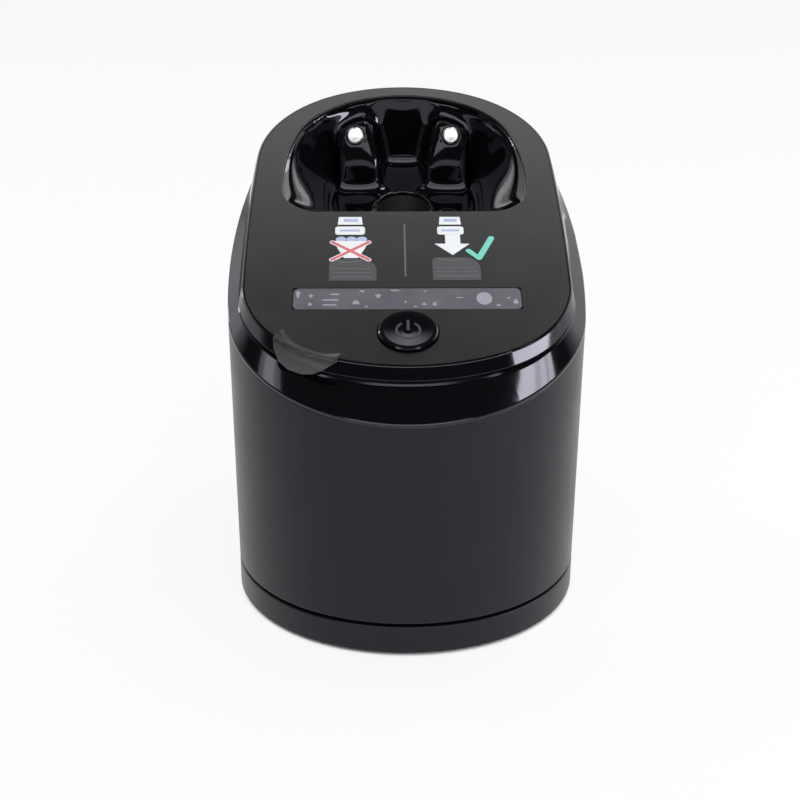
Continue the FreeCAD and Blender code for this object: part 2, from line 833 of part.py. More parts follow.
def add_shell_bosses(body):
    """Four blocks that stand on the chassis deck and take its screws."""
    outer = less(BASE_HALF_WIDTH, "Sizes.boss_reach")
    sketch = new_sketch(body, "bosses", DECK_TOP)
    for station in ("-Sizes.boss_front", "Sizes.boss_rear"):
        low = less(station, "Sizes.boss_half_length")
        high = total(station, "Sizes.boss_half_length")
        add_polygon(sketch, rectangle(BOSS_INNER, outer, low, high))
        add_polygon(sketch, rectangle("-1 * (%s)" % outer, "-1 * (%s)" % BOSS_INNER, low, high))
    pad(body, sketch, "Sizes.boss_height")
    holes = new_sketch(body, "boss_holes", DECK_TOP)
    for x, y in boss_places():
        add_circle(holes, x, y, "Sizes.screw_radius")
    pocket_up(body, holes, BOSS_HOLE)


BOSS_HOLE = "Sizes.boss_height * %s" % BOSS_HOLE_SHARE


def boss_places():
    """Centres of the four casing screws."""
    middle = total(BOSS_INNER, "Sizes.boss_half_length")
    return [(side % middle, station) for side in ("%s", "-1 * (%s)")
            for station in ("-Sizes.boss_front", "Sizes.boss_rear")]


def add_release_collar(body):
    """Guide collar behind the wall for the release button, and its hole."""
    length = "Sizes.release_inner - Sizes.collar_end + Sizes.wall"
    collar = new_sketch(body, "collar", "-Sizes.collar_end", "XZ_Plane")
    add_slot(collar, RELEASE_HEIGHT, "Sizes.release_half_length",
             "Sizes.release_radius + Sizes.release_gap + Sizes.collar_wall")
    pad_down(body, collar, length)
    hole = new_sketch(body, "release_hole", "-Sizes.collar_end", "XZ_Plane")
    add_slot(hole, RELEASE_HEIGHT, "Sizes.release_half_length",
             "Sizes.release_radius + Sizes.release_gap")
    pocket(body, hole, "Sizes.body_rear - Sizes.collar_end + Sizes.wall")


def make_bevel_ring():
    """Glossy bevel between the wall's top edge and the foot of the bright band."""
    body = new_body("bevel_ring", on_top=True)
    outset = "-Sizes.band_step"
    land_top = total(RING_LEVEL, "Sizes.ring_land")
    pad(body, oval_sketch(body, "foot", RING, level=RING_LEVEL), "Sizes.ring_land")
    low = oval_sketch(body, "low", RING, level=land_top)
    for turn in ROLLED_TURNS:
        inset = "Sizes.edge_round * (1 - cos(%s))" % turn
        level = total(land_top, "Sizes.edge_round * sin(%s)" % turn)
        rolled = oval_sketch(body, "rolled_%d" % turn, RING, inset, level,
                             "(%s) * %s" % (inset, ROLLED_LEAN))
        loft(body, "AdditiveLoft", low, rolled)
        low = rolled
    high = oval_sketch(body, "high", PANEL, outset, total(BEVEL_TOP, "-Sizes.edge_round"),
                       BAND_SLIP)
    loft(body, "AdditiveLoft", low, high)
    brow = oval_sketch(body, "brow", PANEL, total(outset, "Sizes.edge_round"), BEVEL_TOP,
                       BAND_SLIP)
    loft(body, "AdditiveLoft", high, brow)
    land = oval_sketch(body, "land", PANEL, total(outset, "Sizes.groove_depth"), BEVEL_TOP,
                       BAND_SLIP)
    pad(body, land, "Sizes.shadow_gap")
    bottom = total(RING_LEVEL, "-Sizes.spigot_depth")
    fall = "-Sizes.spigot_depth * tan(Sizes.top_tilt)"
    step = "Sizes.wall + Sizes.fit_gap"
    spigot_high = oval_sketch(body, "spigot_high", RING, step, RING_LEVEL)
    spigot_low = oval_sketch(body, "spigot_low", RING, step, bottom, fall)
    loft(body, "AdditiveLoft", spigot_high, spigot_low)
    inner_low = oval_sketch(body, "inner_low", RING, total(step, "Sizes.spigot_wall"), bottom,
                            fall)
    inner_high = oval_sketch(body, "inner_high", PANEL, total(outset, "Sizes.wall"),
                             "-Sizes.band_drop", BAND_SLIP)
    loft(body, "SubtractiveLoft", inner_low, inner_high)
    return body


def make_top_cover():
    """Bright band and the deck under the panel, with posts for the control board."""
    body = new_body("top_cover", on_top=True)
    outset = "-Sizes.band_step"
    skirt = total(outset, "Sizes.wall", "Sizes.fit_gap")
    low = oval_sketch(body, "low", PANEL, outset, "-Sizes.band_drop", BAND_SLIP)
    high = oval_sketch(body, "high", PANEL)
    loft(body, "AdditiveLoft", low, high)
    bottom = "-Sizes.band_drop - Sizes.cover_spigot_depth"
    fall = upright_slip(bottom)
    inset = total(skirt, "Sizes.cover_spigot_taper")
    spigot_high = oval_sketch(body, "spigot_high", PANEL, skirt, "-Sizes.band_drop", BAND_SLIP)
    spigot_low = oval_sketch(body, "spigot_low", PANEL, inset, bottom, fall)
    loft(body, "AdditiveLoft", spigot_high, spigot_low)
    hollow_low = oval_sketch(body, "hollow_low", PANEL, total(inset, "Sizes.cover_spigot_wall"),
                             bottom, fall)
    hollow_high = oval_sketch(body, "hollow_high", PANEL,
                              total(skirt, "Sizes.cover_spigot_wall"), COVER_DECK,
                              upright_slip(COVER_DECK))
    loft(body, "SubtractiveLoft", hollow_low, hollow_high)
    posts = new_sketch(body, "posts", BOARD_TOP)
    for x, y in board_corners():
        add_circle(posts, x, y, "Sizes.post_radius")
    pad(body, posts, less(COVER_DECK, BOARD_TOP))
    holes = new_sketch(body, "post_holes", BOARD_TOP)
    for x, y in board_corners():
        add_circle(holes, x, y, "Sizes.screw_radius")
    pocket_up(body, holes, less(COVER_DECK, BOARD_TOP))
    pocket(body, oval_sketch(body, "recess", PANEL, "Sizes.panel_rim"), "Sizes.panel_thickness")
    cut_openings(body, COVER_TOP, "Sizes.window_ledge", CRADLE_OUTSET + " - Sizes.fit_gap")
    round_loop(body, "rim_edge", level_with("0"))
    round_loop(body, "band_edge", level_with("-Sizes.band_drop"))
    return body


def upright_slip(level):
    """How far an upright line moves up the slope between the panel face and the level."""
    return "(%s) * tan(%s)" % (level, TILT)


def make_top_panel():
    """Matt face plate with the cradle, display and button openings."""
    body = new_body("top_panel", on_top=True)
    plate = oval_sketch(body, "plate", PANEL, "Sizes.panel_rim + Sizes.window_gap", COVER_TOP)
    pad(body, plate, "Sizes.panel_thickness")
    cut_openings(body, "0", "-Sizes.window_gap", "0")
    round_loop(body, "mouth_edge", level_with("0"), rank=1)
    return body


def cut_openings(body, level, ledge, mouth_inset):
    """Cradle mouth, display window and button hole, cut down from the level."""
    depth = "Sizes.board_drop"
    pocket(body, oval_sketch(body, "mouth", OPENING, mouth_inset, level), depth)
    sketch = new_sketch(body, "window", level)
    half_width = less("Sizes.display_width / 2", ledge)
    half_height = less("Sizes.display_height / 2", ledge)
    low, high = centred(half_width)
    add_polygon(sketch, rectangle(low, high, less("-Sizes.display_station", half_height),
                                  total("-Sizes.display_station", half_height)))
    add_circle(sketch, "0", "-Sizes.button_station", "Sizes.button_radius + Sizes.button_gap")
    pocket(body, sketch, depth)


# ---------------------------------------------------------------- cradle

WELL_ALONG = up_slope("Sizes.well_station", CRADLE_FLOOR)
CRADLE_OUTSET = "-Sizes.cradle_overhang - Sizes.cradle_wall"
STUD_BORE_DEPTH = "Sizes.stud_length - Sizes.stud_proud + Sizes.stud_spring_length"


def make_cradle():
    """Moulded holder: a drafted bowl with a hanging flange, cut to the shape of its hollow."""
    outside = new_body("cradle_outside", on_top=True)
    high = oval_sketch(outside, "high", OPENING, CRADLE_OUTSET, COVER_TOP)
    low = oval_sketch(outside, "low", SEAT, "-Sizes.cradle_wall", CRADLE_UNDER,
                      "-Sizes.cradle_relief")
    loft(outside, "AdditiveLoft", high, low)
    flange = oval_sketch(outside, "flange", OPENING, "-Sizes.cradle_flange", COVER_DECK,
                         "-Sizes.cradle_flange_shift")
    pad_down(outside, flange, "Sizes.cradle_flange_thickness")
    cradle = document.addObject("Part::Cut", "cradle")
    cradle.Base = outside
    cradle.Tool = make_cradle_hollow()
    cradle.Label = "cradle"
    return cradle


def make_cradle_hollow():
    """The air in the cradle: the bowl less its two lobes, with the well and the stud bores."""
    body = new_body("cradle_hollow", on_top=True)
    high = oval_sketch(body, "high", OPENING, "-Sizes.cradle_overhang", COVER_TOP)
    low = oval_sketch(body, "low", SEAT, level=CRADLE_FLOOR)
    loft(body, "AdditiveLoft", high, low)
    cut_lobes(body)
    well = new_sketch(body, "well", CRADLE_FLOOR)
    add_circle(well, "0", WELL_ALONG, "Sizes.well_radius")
    add_circle(well, "Sizes.nozzle_side", "Sizes.nozzle_along", "Sizes.nozzle_neck")
    pad_down(body, well, "2 * Sizes.cradle_wall")
    bores = stud_sketch(body, "bores")
    for x in centred("Sizes.stud_spacing / 2"):
        add_circle(bores, x, "0", "Sizes.stud_radius + Sizes.stud_clearance")
    pad_down(body, bores, STUD_BORE_DEPTH)
    return body


def stud_sketch(body, name):
    """A sketch on the lobes' front face, with its origin level with the studs."""
    sketch = new_sketch(body, name, "-Sizes.stud_station", "XZ_Plane")
    sketch.AttachmentOffset = Placement(Vector(), Rotation(Vector(1, 0, 0), 1))
    sketch.setExpression("AttachmentOffset.Rotation.Angle", "-1 * Sizes.lobe_lean")
    sketch.setExpression("AttachmentOffset.Base.y", "-Sizes.stud_drop")
    return sketch


def cut_lobes(body):
    """Leaves the room of the two lobes out of the hollow, with their edges rounded."""
    lobes = stud_sketch(body, "lobes")
    for side in ("%s", "-1 * (%s)"):
        add_polygon(lobes, [(side % x, y) for x, y in lobe_outline()])
    pocket(body, lobes, OPENING["half_width"])
    for name, across in (("waist", "Sizes.lobe_inner_waist"), ("shoulder", "Sizes.lobe_outer"),
                         ("top", "Sizes.lobe_inner_top")):
        round_edges(body, name + "_round", edges_where(body, lobe_corner_test(across)),
                    "Sizes.lobe_%s_round" % name)
    round_edges(body, "front_round", edges_where(body, on_lobe_front), "Sizes.lobe_front_round")


def lobe_outline():
    """Corners of the right lobe's front face: across, and up the face from the studs."""
    def up_face(drop):
        return "(Sizes.stud_drop - (%s)) / cos(Sizes.lobe_lean)" % drop

    foot = up_face("Sizes.cradle_depth + Sizes.cradle_wall")
    return [("Sizes.lobe_inner_top", up_face("Sizes.lobe_top_drop")),
            ("Sizes.lobe_inner_waist", up_face("Sizes.lobe_waist_drop")),
            ("Sizes.lobe_inner_foot", foot), ("Sizes.lobe_outer", foot),
            ("Sizes.lobe_outer", up_face("Sizes.lobe_shoulder_drop"))]


def lobe_normal():
    """The direction that the lobes' front faces look, in the sloping frame."""
    lean = math.radians(value("Sizes.lobe_lean"))
    return Vector(0, -math.cos(lean), math.sin(lean))


def lobe_corner_test(side):
    """A test for the edges that run back from the lobes' top corners at this side."""
    across = value(side)

    def test(edge):
        if not isinstance(edge.Curve, Part.Line):
            return False
        along = abs(edge.Curve.Direction.dot(lobe_normal())) > ALIGNED
        return along and abs(abs(edge.CenterOfMass.x) - across) < AT_LOBE
    return test


def on_lobe_front(edge):
    """Whether an edge bounds a lobe's front face above the cradle's floor."""
    origin = Vector(0, value("Sizes.stud_station"), -value("Sizes.stud_drop"))
    points = [vertex.Point for vertex in edge.Vertexes] + [edge.CenterOfMass]
    on_plane = all(abs((point - origin).dot(lobe_normal())) < AT_LOBE for point in points)
    return on_plane and edge.CenterOfMass.z > value(CRADLE_FLOOR) + AT_LOBE


def place_by_studs(item, side, depth):
    """Puts an upright turned piece on a stud's axis, its foot this far into the lobe."""
    lean = "Sizes.lobe_lean"
    put_on_top(item, "%s * Sizes.stud_spacing / 2" % side,
               "Sizes.stud_station + (%s) * cos(%s)" % (depth, lean),
               "-Sizes.stud_drop - (%s) * sin(%s)" % (depth, lean),
               "%s + 90 - %s" % (TILT, lean))


def make_contact_stud(label, side):
    """Sprung contact: a plain pin with a shallow dome."""
    radius = "Sizes.stud_radius"
    body = turned(label, [("0", "0"), (radius, "0"),
                          (radius, "Sizes.stud_length - Sizes.stud_edge"),
                          ("Sizes.stud_radius - Sizes.stud_edge", "Sizes.stud_length"),
                          ("0", "Sizes.stud_length + Sizes.stud_crown")])
    body.Placement = Placement(Vector(), Rotation(Vector(1, 0, 0), 1))
    place_by_studs(body, side, "Sizes.stud_length - Sizes.stud_proud")
    return body


def make_contact_spring(label, side):
    """Spring behind a contact stud."""
    body = turned(label, spring_profile("Sizes.stud_radius - Sizes.spring_wire",
                                        "0", "Sizes.stud_spring_length"))
    place_by_studs(body, side, STUD_BORE_DEPTH)
    return body


def spring_profile(radius, low, high):
    """Zigzag wall that stands for a close coil: one ridge for each turn."""
    outer = []
    inner = []
    steps = 2 * SPRING_TURNS
    for step in range(steps + 1):
        height = "(%s) + ((%s) - (%s)) * %d / %d" % (low, high, low, step, steps)
        ridge = "0" if step % 2 else "Sizes.spring_wire"
        outer.append((total(radius, ridge), height))
        inner.append((less(total(radius, ridge), "Sizes.spring_wire"), height))
    return outer + inner[::-1]


# ---------------------------------------------------------------- drain

def make_drain_cup():
    """Upright cup under the cradle's hole, cut to the floor's slope, with its spout."""
    inner = "Sizes.well_radius"
    outer = total(inner, "Sizes.well_wall")
    floor = WELL_FLOOR
    throat = "Sizes.spout_radius - Sizes.spout_wall"
    rim = "Sizes.panel_height + Sizes.well_radius"
    body = turned("drain_cup", [
        (throat, SPOUT_BOTTOM), ("Sizes.spout_radius", SPOUT_BOTTOM),
        ("Sizes.spout_radius", less(floor, "2 * Sizes.well_wall")),
        (outer, less(floor, "Sizes.well_wall")), (outer, rim), (inner, rim),
        (inner, floor), (throat, less(floor, "Sizes.well_wall"))])
    put(body, y="Sizes.well_station")
    trim = new_sketch(body, "trim", "-2 * Sizes.well_radius", "YZ_Plane")
    reach = "2 * Sizes.well_radius"
    under = underside_height("Sizes.well_station", CRADLE_UNDER)
    fall = "(%s) * tan(%s)" % (reach, TILT)
    add_polygon(trim, [("-1 * (%s)" % reach, less(under, fall)), (reach, total(under, fall)),
                       (reach, total(rim, reach)), ("-1 * (%s)" % reach, total(rim, reach))])
    pocket_up(body, trim, "4 * Sizes.well_radius")
    return body


def underside_height(plan, drop):
    """Height over the table of a sloping plane, this far off the panel, at a plan station."""
    return "Sizes.panel_height + (%s) * tan(%s) + (%s) / cos(%s)" % (plan, TILT, drop, TILT)


def make_drain_strainer():
    """Perforated disc on the floor of the drain cup."""
    body = new_body("drain_strainer")
    disc = new_sketch(body, "disc")
    add_circle(disc, "0", "0", "Sizes.well_radius - Sizes.fit_gap")
    pad(body, disc, "Sizes.strainer_thickness")
    hole = new_sketch(body, "hole", "Sizes.strainer_thickness")
    add_circle(hole, "0", "Sizes.strainer_ring_radius", "Sizes.strainer_hole")
    document.recompute()
    cut = pocket(body, hole, "2 * Sizes.strainer_thickness")
    document.recompute()
    ring = body.newObject("PartDesign::PolarPattern", "strainer_ring")
    ring.Originals = [cut]
    ring.Axis = (hole, ["N_Axis"])
    ring.Angle = 360.0
    ring.Occurrences = STRAINER_HOLES
    body.Tip = ring
    put(body, y="Sizes.well_station", z=WELL_FLOOR)
    return body


def make_fluid_nozzle():
    """Domed outlet of the pump's riser, square to the cradle floor."""
    top = "Sizes.nozzle_height - Sizes.cradle_depth"
    neck = "Sizes.nozzle_neck - Sizes.fit_gap"
    bore = "Sizes.riser_radius - Sizes.riser_wall"
    body = turned("fluid_nozzle", [(bore, NOZZLE_LOW), (neck, NOZZLE_LOW), (neck, top),
                                   (bore, total(top, "Sizes.nozzle_height / 2"))])
    put_on_top(body, "Sizes.nozzle_side", "Sizes.nozzle_along", "0")
    return body


# ---------------------------------------------------------------- display and button

def make_display_lens():
    """Smoked window in the panel, with rounded corners."""
    body = new_body("display_lens", on_top=True)
    sketch = new_sketch(body, "face", "-Sizes.lens_thickness")
    add_bar(sketch, "Sizes.display_width / 2 - Sizes.window_gap / 2",
            "Sizes.display_height / 2 - Sizes.window_gap / 2")
    pad(body, sketch, "Sizes.lens_thickness - Sizes.window_gap / 2")
    round_edges(body, "corners", edges_where(body, is_upright), "Sizes.display_corner")
    return body


def add_bar(sketch, half_width, half_height):
    """A rectangle centred on the display's station."""
    low, high = centred(half_width)
    add_polygon(sketch, rectangle(low, high, less("-Sizes.display_station", half_height),
                                  total("-Sizes.display_station", half_height)))


def make_light_guide():
    """Frosted block under the lens, with a flange under the cover's deck."""
    body = new_body("light_guide", on_top=True)
    flange = new_sketch(body, "flange", less(COVER_DECK, "Sizes.light_guide_flange"))
    add_bar(flange, "Sizes.display_width / 2", "Sizes.display_height / 2")
    pad(body, flange, "Sizes.light_guide_flange")
    plug = new_sketch(body, "plug", COVER_DECK)
    inset = "Sizes.window_ledge + Sizes.window_gap"
    add_bar(plug, less("Sizes.display_width / 2", inset),
            less("Sizes.display_height / 2", inset))
    pad(body, plug, less(COVER_TOP, COVER_DECK))
    return body


def make_power_button():
    """Dished cap with a skirt, a retaining flange under the deck and a switch stem."""
    cap = "Sizes.button_radius"
    rim = less(cap, "Sizes.button_rim")
    proud = "Sizes.button_proud"
    stem = "Sizes.stem_radius"
    flange = total(cap, "2 * Sizes.button_gap")
    flange_low = less(COVER_DECK, "Sizes.button_flange")
    body = turned("power_button", [
        ("0", STEM_TIP), (stem, STEM_TIP), (stem, flange_low), (flange, flange_low),
        (flange, COVER_DECK), (cap, COVER_DECK), (cap, less(proud, "Sizes.button_edge")),
        (less(cap, "Sizes.button_edge"), proud), (rim, proud),
        ("Sizes.button_rim", less(proud, "Sizes.button_dish")),
        ("0", less(proud, "Sizes.button_dish"))])
    put_on_top(body, "0", "-Sizes.button_station", "0")
    return body


SWITCH_TOP = total(BOARD_TOP, "Sizes.switch_height")
STEM_TIP = total(SWITCH_TOP, "Sizes.button_travel", "Sizes.window_gap")


def make_button_spring():
    """Return spring round the stem, between the flange and the board."""
    body = turned("button_spring", spring_profile("Sizes.button_spring_radius", BOARD_TOP,
                                                  less(COVER_DECK, "Sizes.button_flange")))
    put_on_top(body, "0", "-Sizes.button_station", "0")
    return body


def make_control_board():
    """Circuit board on the cover's posts."""
    body = new_body("control_board", on_top=True)
    sketch = new_sketch(body, "plate", BOARD_BOTTOM)
    low, high = centred("Sizes.board_half_width")
    add_polygon(sketch, rectangle(low, high, "-Sizes.board_front", "-Sizes.board_rear"))
    for x, y in board_corners():
        add_circle(sketch, x, y, "Sizes.screw_radius + Sizes.window_gap")
    pad(body, sketch, "Sizes.board_thickness")
    return body


def board_corners():
    """Centres of the board's four screws."""
    side = "Sizes.board_half_width - Sizes.post_inset"
    stations = ("Sizes.post_inset - Sizes.board_front", "-Sizes.board_rear - Sizes.post_inset")
    return [(x, y) for x in centred(side) for y in stations]


def screw_points(tip, seat):
    """Profile of a pan-head screw whose head hangs below its seat."""
    head = less(seat, "Sizes.screw_head_height")
    return [("0", head), ("Sizes.screw_head_radius", head), ("Sizes.screw_head_radius", seat),
            ("Sizes.screw_shank", seat), ("Sizes.screw_shank", tip), ("0", tip)]


def make_board_screws():
    """Four screws that hold the board to the cover's posts."""
    members = []
    tip = less(COVER_DECK, "Sizes.screw_tip_gap")
    for index, (x, y) in enumerate(board_corners()):
        screw = turned("board_screw_%d" % index, screw_points(tip, BOARD_BOTTOM))
        put_on_top(screw, x, y, "0")
        members.append(screw)
    return group("board_screws", members)


def make_tact_switch():
    """Switch on the board under the button's stem."""
    body = new_body("tact_switch", on_top=True)
    case = new_sketch(body, "case", BOARD_TOP)
    low, high = centred("Sizes.switch_width / 2")
    add_polygon(case, rectangle(low, high, "-Sizes.button_station - Sizes.switch_width / 2",
                                "-Sizes.button_station + Sizes.switch_width / 2"))
    pad(body, case, "Sizes.switch_height * %s" % SWITCH_CASE_SHARE)
    plunger = new_sketch(body, "plunger", BOARD_TOP)
    add_circle(plunger, "0", "-Sizes.button_station", "Sizes.stem_radius * %s" % PLUNGER_SHARE)
    pad(body, plunger, "Sizes.switch_height")
    return body


def make_status_lights():
    """Row of lights on the board under the display."""
    members = []
    for index in range(LIGHTS):
        chip = box("status_light_%d" % index, "Sizes.led_width", "Sizes.led_width",
                   "Sizes.led_height")
        across = "(%f) * Sizes.led_pitch - Sizes.led_width / 2" % (index - (LIGHTS - 1) / 2)
        put_on_top(chip, across, "-Sizes.display_station", BOARD_TOP)
        members.append(chip)
    return group("status_lights", members)


# ---------------------------------------------------------------- plinth and column

def make_base_tray():
    """Plinth: a tray with a spigot inside the housing, foot recesses and a rear bridge."""
    body = new_body("base_tray")
    pad(body, oval_sketch(body, "plinth", BASE, level=TRAY_BOTTOM),
        less("Sizes.plinth_top", TRAY_BOTTOM))
    round_loop(body, "plinth_edge", level_with("Sizes.plinth_top"))
    round_loop(body, "foot_edge", level_with(TRAY_BOTTOM))
    spigot_outer = "Sizes.wall + Sizes.fit_gap"
    spigot_inner = total(spigot_outer, "Sizes.tray_spigot_wall")
    pad(body, oval_sketch(body, "spigot", BASE, spigot_outer, "Sizes.plinth_top"),
        "Sizes.tray_spigot_height")
    top = "Sizes.plinth_top + Sizes.tray_spigot_height"
    pocket(body, oval_sketch(body, "hollow", BASE, spigot_inner, top), less(top, TRAY_INSIDE))
    bridge = new_sketch(body, "bridge", TRAY_INSIDE)
    low, high = centred("Sizes.bridge_half_width")
    add_polygon(bridge, rectangle(low, high, "Sizes.bridge_front", "Sizes.bridge_rear"))
    pad(body, bridge, less("Sizes.bridge_height", TRAY_INSIDE))
    inlet = new_sketch(body, "inlet_hole", less("Sizes.inlet_inset", "Sizes.body_rear"),
                       "XZ_Plane")
    low, high = centred(total("Sizes.inlet_half_width", "Sizes.window_gap"))
    add_polygon(inlet, rectangle(low, high, TRAY_INSIDE,
                                 total(TRAY_INSIDE, "Sizes.inlet_height", "Sizes.window_gap")))
    pocket_both(body, inlet, total("Sizes.inlet_depth", "Sizes.window_gap"))
    holes = new_sketch(body, "screw_holes", "Sizes.bridge_height")
    for x, y in column_corners():
        add_circle(holes, x, y, "Sizes.screw_radius")
    pocket(body, holes, "Sizes.column_screw_length")
    recesses = new_sketch(body, "recesses", TRAY_BOTTOM)
    for x, y in foot_places():
        add_circle(recesses, x, y, "Sizes.foot_radius + Sizes.window_gap")
    pocket_up(body, recesses, "Sizes.foot_recess")
    return body


def pocket_both(body, sketch, length):
    """A cut from the sketch to both sides of its plane."""
    feature = pocket(body, sketch, "2 * (%s)" % length)
    feature.Midplane = True
    return feature


def foot_places():
    """Centres of the four feet."""
    side = less(BASE_HALF_WIDTH, "Sizes.foot_inset")
    return [(x, y) for x in centred(side) for y in centred("Sizes.foot_station")]


def make_base_feet():
    """Four rubber feet in the tray's recesses."""
    members = []
    for index, (x, y) in enumerate(foot_places()):
        foot = cylinder("foot_%d" % index, "Sizes.foot_radius",
                        total(TRAY_BOTTOM, "Sizes.foot_recess"))
        put(foot, x, y)
        members.append(foot)
    return group("base_feet", members)


def make_power_inlet():
    """Two-pin inlet in the back of the plinth."""
    body = new_body("power_inlet")
    rear = less("Sizes.body_rear", "Sizes.wall_lean", "Sizes.inlet_inset")
    block = new_sketch(body, "block", "-1 * (%s)" % rear, "XZ_Plane")
    low, high = centred("Sizes.inlet_half_width")
    top = total(TRAY_INSIDE, "Sizes.inlet_height")
    add_polygon(block, rectangle(low, high, TRAY_INSIDE, top))
    pad(body, block, less("Sizes.inlet_depth", "Sizes.inlet_inset"))
    mouth = new_sketch(body, "mouth", "-1 * (%s)" % rear, "XZ_Plane")
    low, high = centred("Sizes.inlet_half_width - Sizes.inlet_wall")
    add_polygon(mouth, rectangle(low, high, total(TRAY_INSIDE, "Sizes.inlet_wall"),
                                 less(top, "Sizes.inlet_wall")))
    pocket_up(body, mouth, "Sizes.inlet_mouth")
    return body


def make_inlet_pins():
    """The inlet's two pins."""
    members = []
    root = less("Sizes.body_rear", "Sizes.wall_lean", "Sizes.inlet_inset", "Sizes.inlet_mouth")
    for index, x in enumerate(centred("Sizes.inlet_pin_spacing / 2")):
        pin = cylinder("inlet_pin_%d" % index, "Sizes.inlet_pin_radius",
                       "Sizes.inlet_pin_length")
        pin.Placement = Placement(Vector(), Rotation(Vector(1, 0, 0), -90))
        put(pin, x, root, total(TRAY_INSIDE, "Sizes.inlet_height / 2"))
        members.append(pin)
    return group("inlet_pins", members)


def column_corners():
    """Centres of the column's four screws."""
    return [(x, y) for x in centred("Sizes.column_screw_side")
            for y in ("Sizes.column_screw_front", "Sizes.column_screw_rear")]


def make_guide_column():
    """Channel-section column on a screwed foot, with the latch notch near its top."""
    body = new_body("guide_column")
    foot = new_sketch(body, "foot", "Sizes.bridge_height")
    low, high = centred("Sizes.column_foot_half_width")
    add_polygon(foot, rectangle(low, high, "Sizes.column_foot_front",
                                "Sizes.column_foot_rear"))
    for x, y in column_corners():
        add_circle(foot, x, y, "Sizes.screw_radius + Sizes.window_gap")
    pad(body, foot, "Sizes.column_foot_thickness")
    channel = new_sketch(body, "channel", COLUMN_FOOT_TOP)
    half = "Sizes.column_half_width"
    inside = less(half, "Sizes.column_flange")
    web = less("Sizes.column_rear", "Sizes.column_web")
    front = "Sizes.column_front"
    add_polygon(channel, [("-1 * (%s)" % half, front), ("-1 * (%s)" % inside, front),
                          ("-1 * (%s)" % inside, web), (inside, web), (inside, front),
                          (half, front), (half, "Sizes.column_rear"),
                          ("-1 * (%s)" % half, "Sizes.column_rear")])
    pad(body, channel, less(COLUMN_TOP, COLUMN_FOOT_TOP))
    notch = new_sketch(body, "notch", "-1 * Sizes.column_rear", "XZ_Plane")
    low, high = centred("Sizes.notch_half_width")
    add_polygon(notch, rectangle(low, high, NOTCH_BOTTOM,
                                 total(NOTCH_BOTTOM, "Sizes.notch_height")))
    pocket_both(body, notch, "2 * Sizes.column_web")
    return body


def make_column_screws():
    """Four countersunk screws through the column's foot."""
    members = []
    for index, (x, y) in enumerate(column_corners()):
        tip = total("Sizes.bridge_height", "-Sizes.column_screw_length", "Sizes.screw_tip_gap")
        screw = turned("column_screw_%d" % index, [
            ("0", tip), ("Sizes.screw_shank", tip), ("Sizes.screw_shank", COLUMN_FOOT_TOP),
            ("0", COLUMN_FOOT_TOP)])
        put(screw, x, y)
        members.append(screw)
    return group("column_screws", members)


# ---------------------------------------------------------------- chassis and carriage

SHOE_SIDE = "Sizes.column_half_width + Sizes.guide_gap"
ARM_SIDE = total(SHOE_SIDE, "Sizes.shoe_wall")


def make_chassis():
    """Deck across the housing with two arms that carry the guide shoes and rest on the foot."""
    body = new_body("chassis")
    inset = "Sizes.wall + Sizes.deck_clearance"
    pad(body, oval_sketch(body, "deck", BASE, inset, "Sizes.deck_height"),
        "Sizes.deck_thickness")
    arms = new_sketch(body, "arms", "Sizes.deck_height")
    outer = total(ARM_SIDE, "Sizes.arm_wall")
    add_polygon(arms, rectangle(ARM_SIDE, outer, "Sizes.arm_front", "Sizes.arm_rear"))
    add_polygon(arms, rectangle("-1 * (%s)" % outer, "-1 * (%s)" % ARM_SIDE,
                                "Sizes.arm_front", "Sizes.arm_rear"))
    pad_down(body, arms, less("Sizes.deck_height", COLUMN_FOOT_TOP))
    slot = new_sketch(body, "slot", DECK_TOP)
    low, high = centred(ARM_SIDE)
    add_polygon(slot, rectangle(low, high, less("Sizes.column_front", "Sizes.slot_gap"),
                                "Sizes.arm_rear"))
    add_circle(slot, "0", "-Sizes.pump_station", "Sizes.motor_boss_radius + Sizes.fit_gap")
    add_circle(slot, "Sizes.riser_side", "-Sizes.pump_station",
               "Sizes.riser_radius + Sizes.fit_gap")
    add_circle(slot, "0", "Sizes.well_station", "Sizes.spout_radius + Sizes.fit_gap")
    for x, y in boss_places():
        add_circle(slot, x, y, "Sizes.screw_radius + Sizes.window_gap")
    pocket(body, slot, "2 * Sizes.deck_thickness")
    tab = new_sketch(body, "latch_tab", DECK_TOP)
    low, high = centred("Sizes.latch_tab_half_width")
    rear = less("Sizes.column_front", "Sizes.slot_gap")
    add_polygon(tab, rectangle(low, high, less(rear, "Sizes.latch_tab_thickness"), rear))
    pad(body, tab, "Sizes.latch_tab_height")
    return body


def make_guide_shoes():
    """Two acetal linings that run on the column's edges."""
    members = []
    for name, side in (("left", "-1 * (%s)"), ("right", "%s")):
        body = new_body("guide_shoe_%s" % name)
        sketch = new_sketch(body, "section", "Sizes.shoe_bottom")
        front = less("Sizes.column_front", "Sizes.guide_gap")
        rear = total("Sizes.column_rear", "Sizes.guide_gap")
        lip = less(SHOE_SIDE, "Sizes.shoe_lip")
        front_out = less(front, "Sizes.guide_lip_wall")
        rear_out = total(rear, "Sizes.guide_lip_wall")
        add_polygon(sketch, [(side % lip, front_out), (side % ARM_SIDE, front_out),
                             (side % ARM_SIDE, rear_out), (side % lip, rear_out),
                             (side % lip, rear), (side % SHOE_SIDE, rear),
                             (side % SHOE_SIDE, front), (side % lip, front)])
        pad(body, sketch, "Sizes.shoe_height")
        members.append(body)
    return group("guide_shoes", members)


def make_housing_screws():
    """Four screws from under the deck into the wall's bosses."""
    members = []
    tip = total(DECK_TOP, BOSS_HOLE, "-Sizes.screw_tip_gap")
    for index, (x, y) in enumerate(boss_places()):
        screw = turned("housing_screw_%d" % index, screw_points(tip, "Sizes.deck_height"))
        put(screw, x, y)
        members.append(screw)
    return group("housing_screws", members)


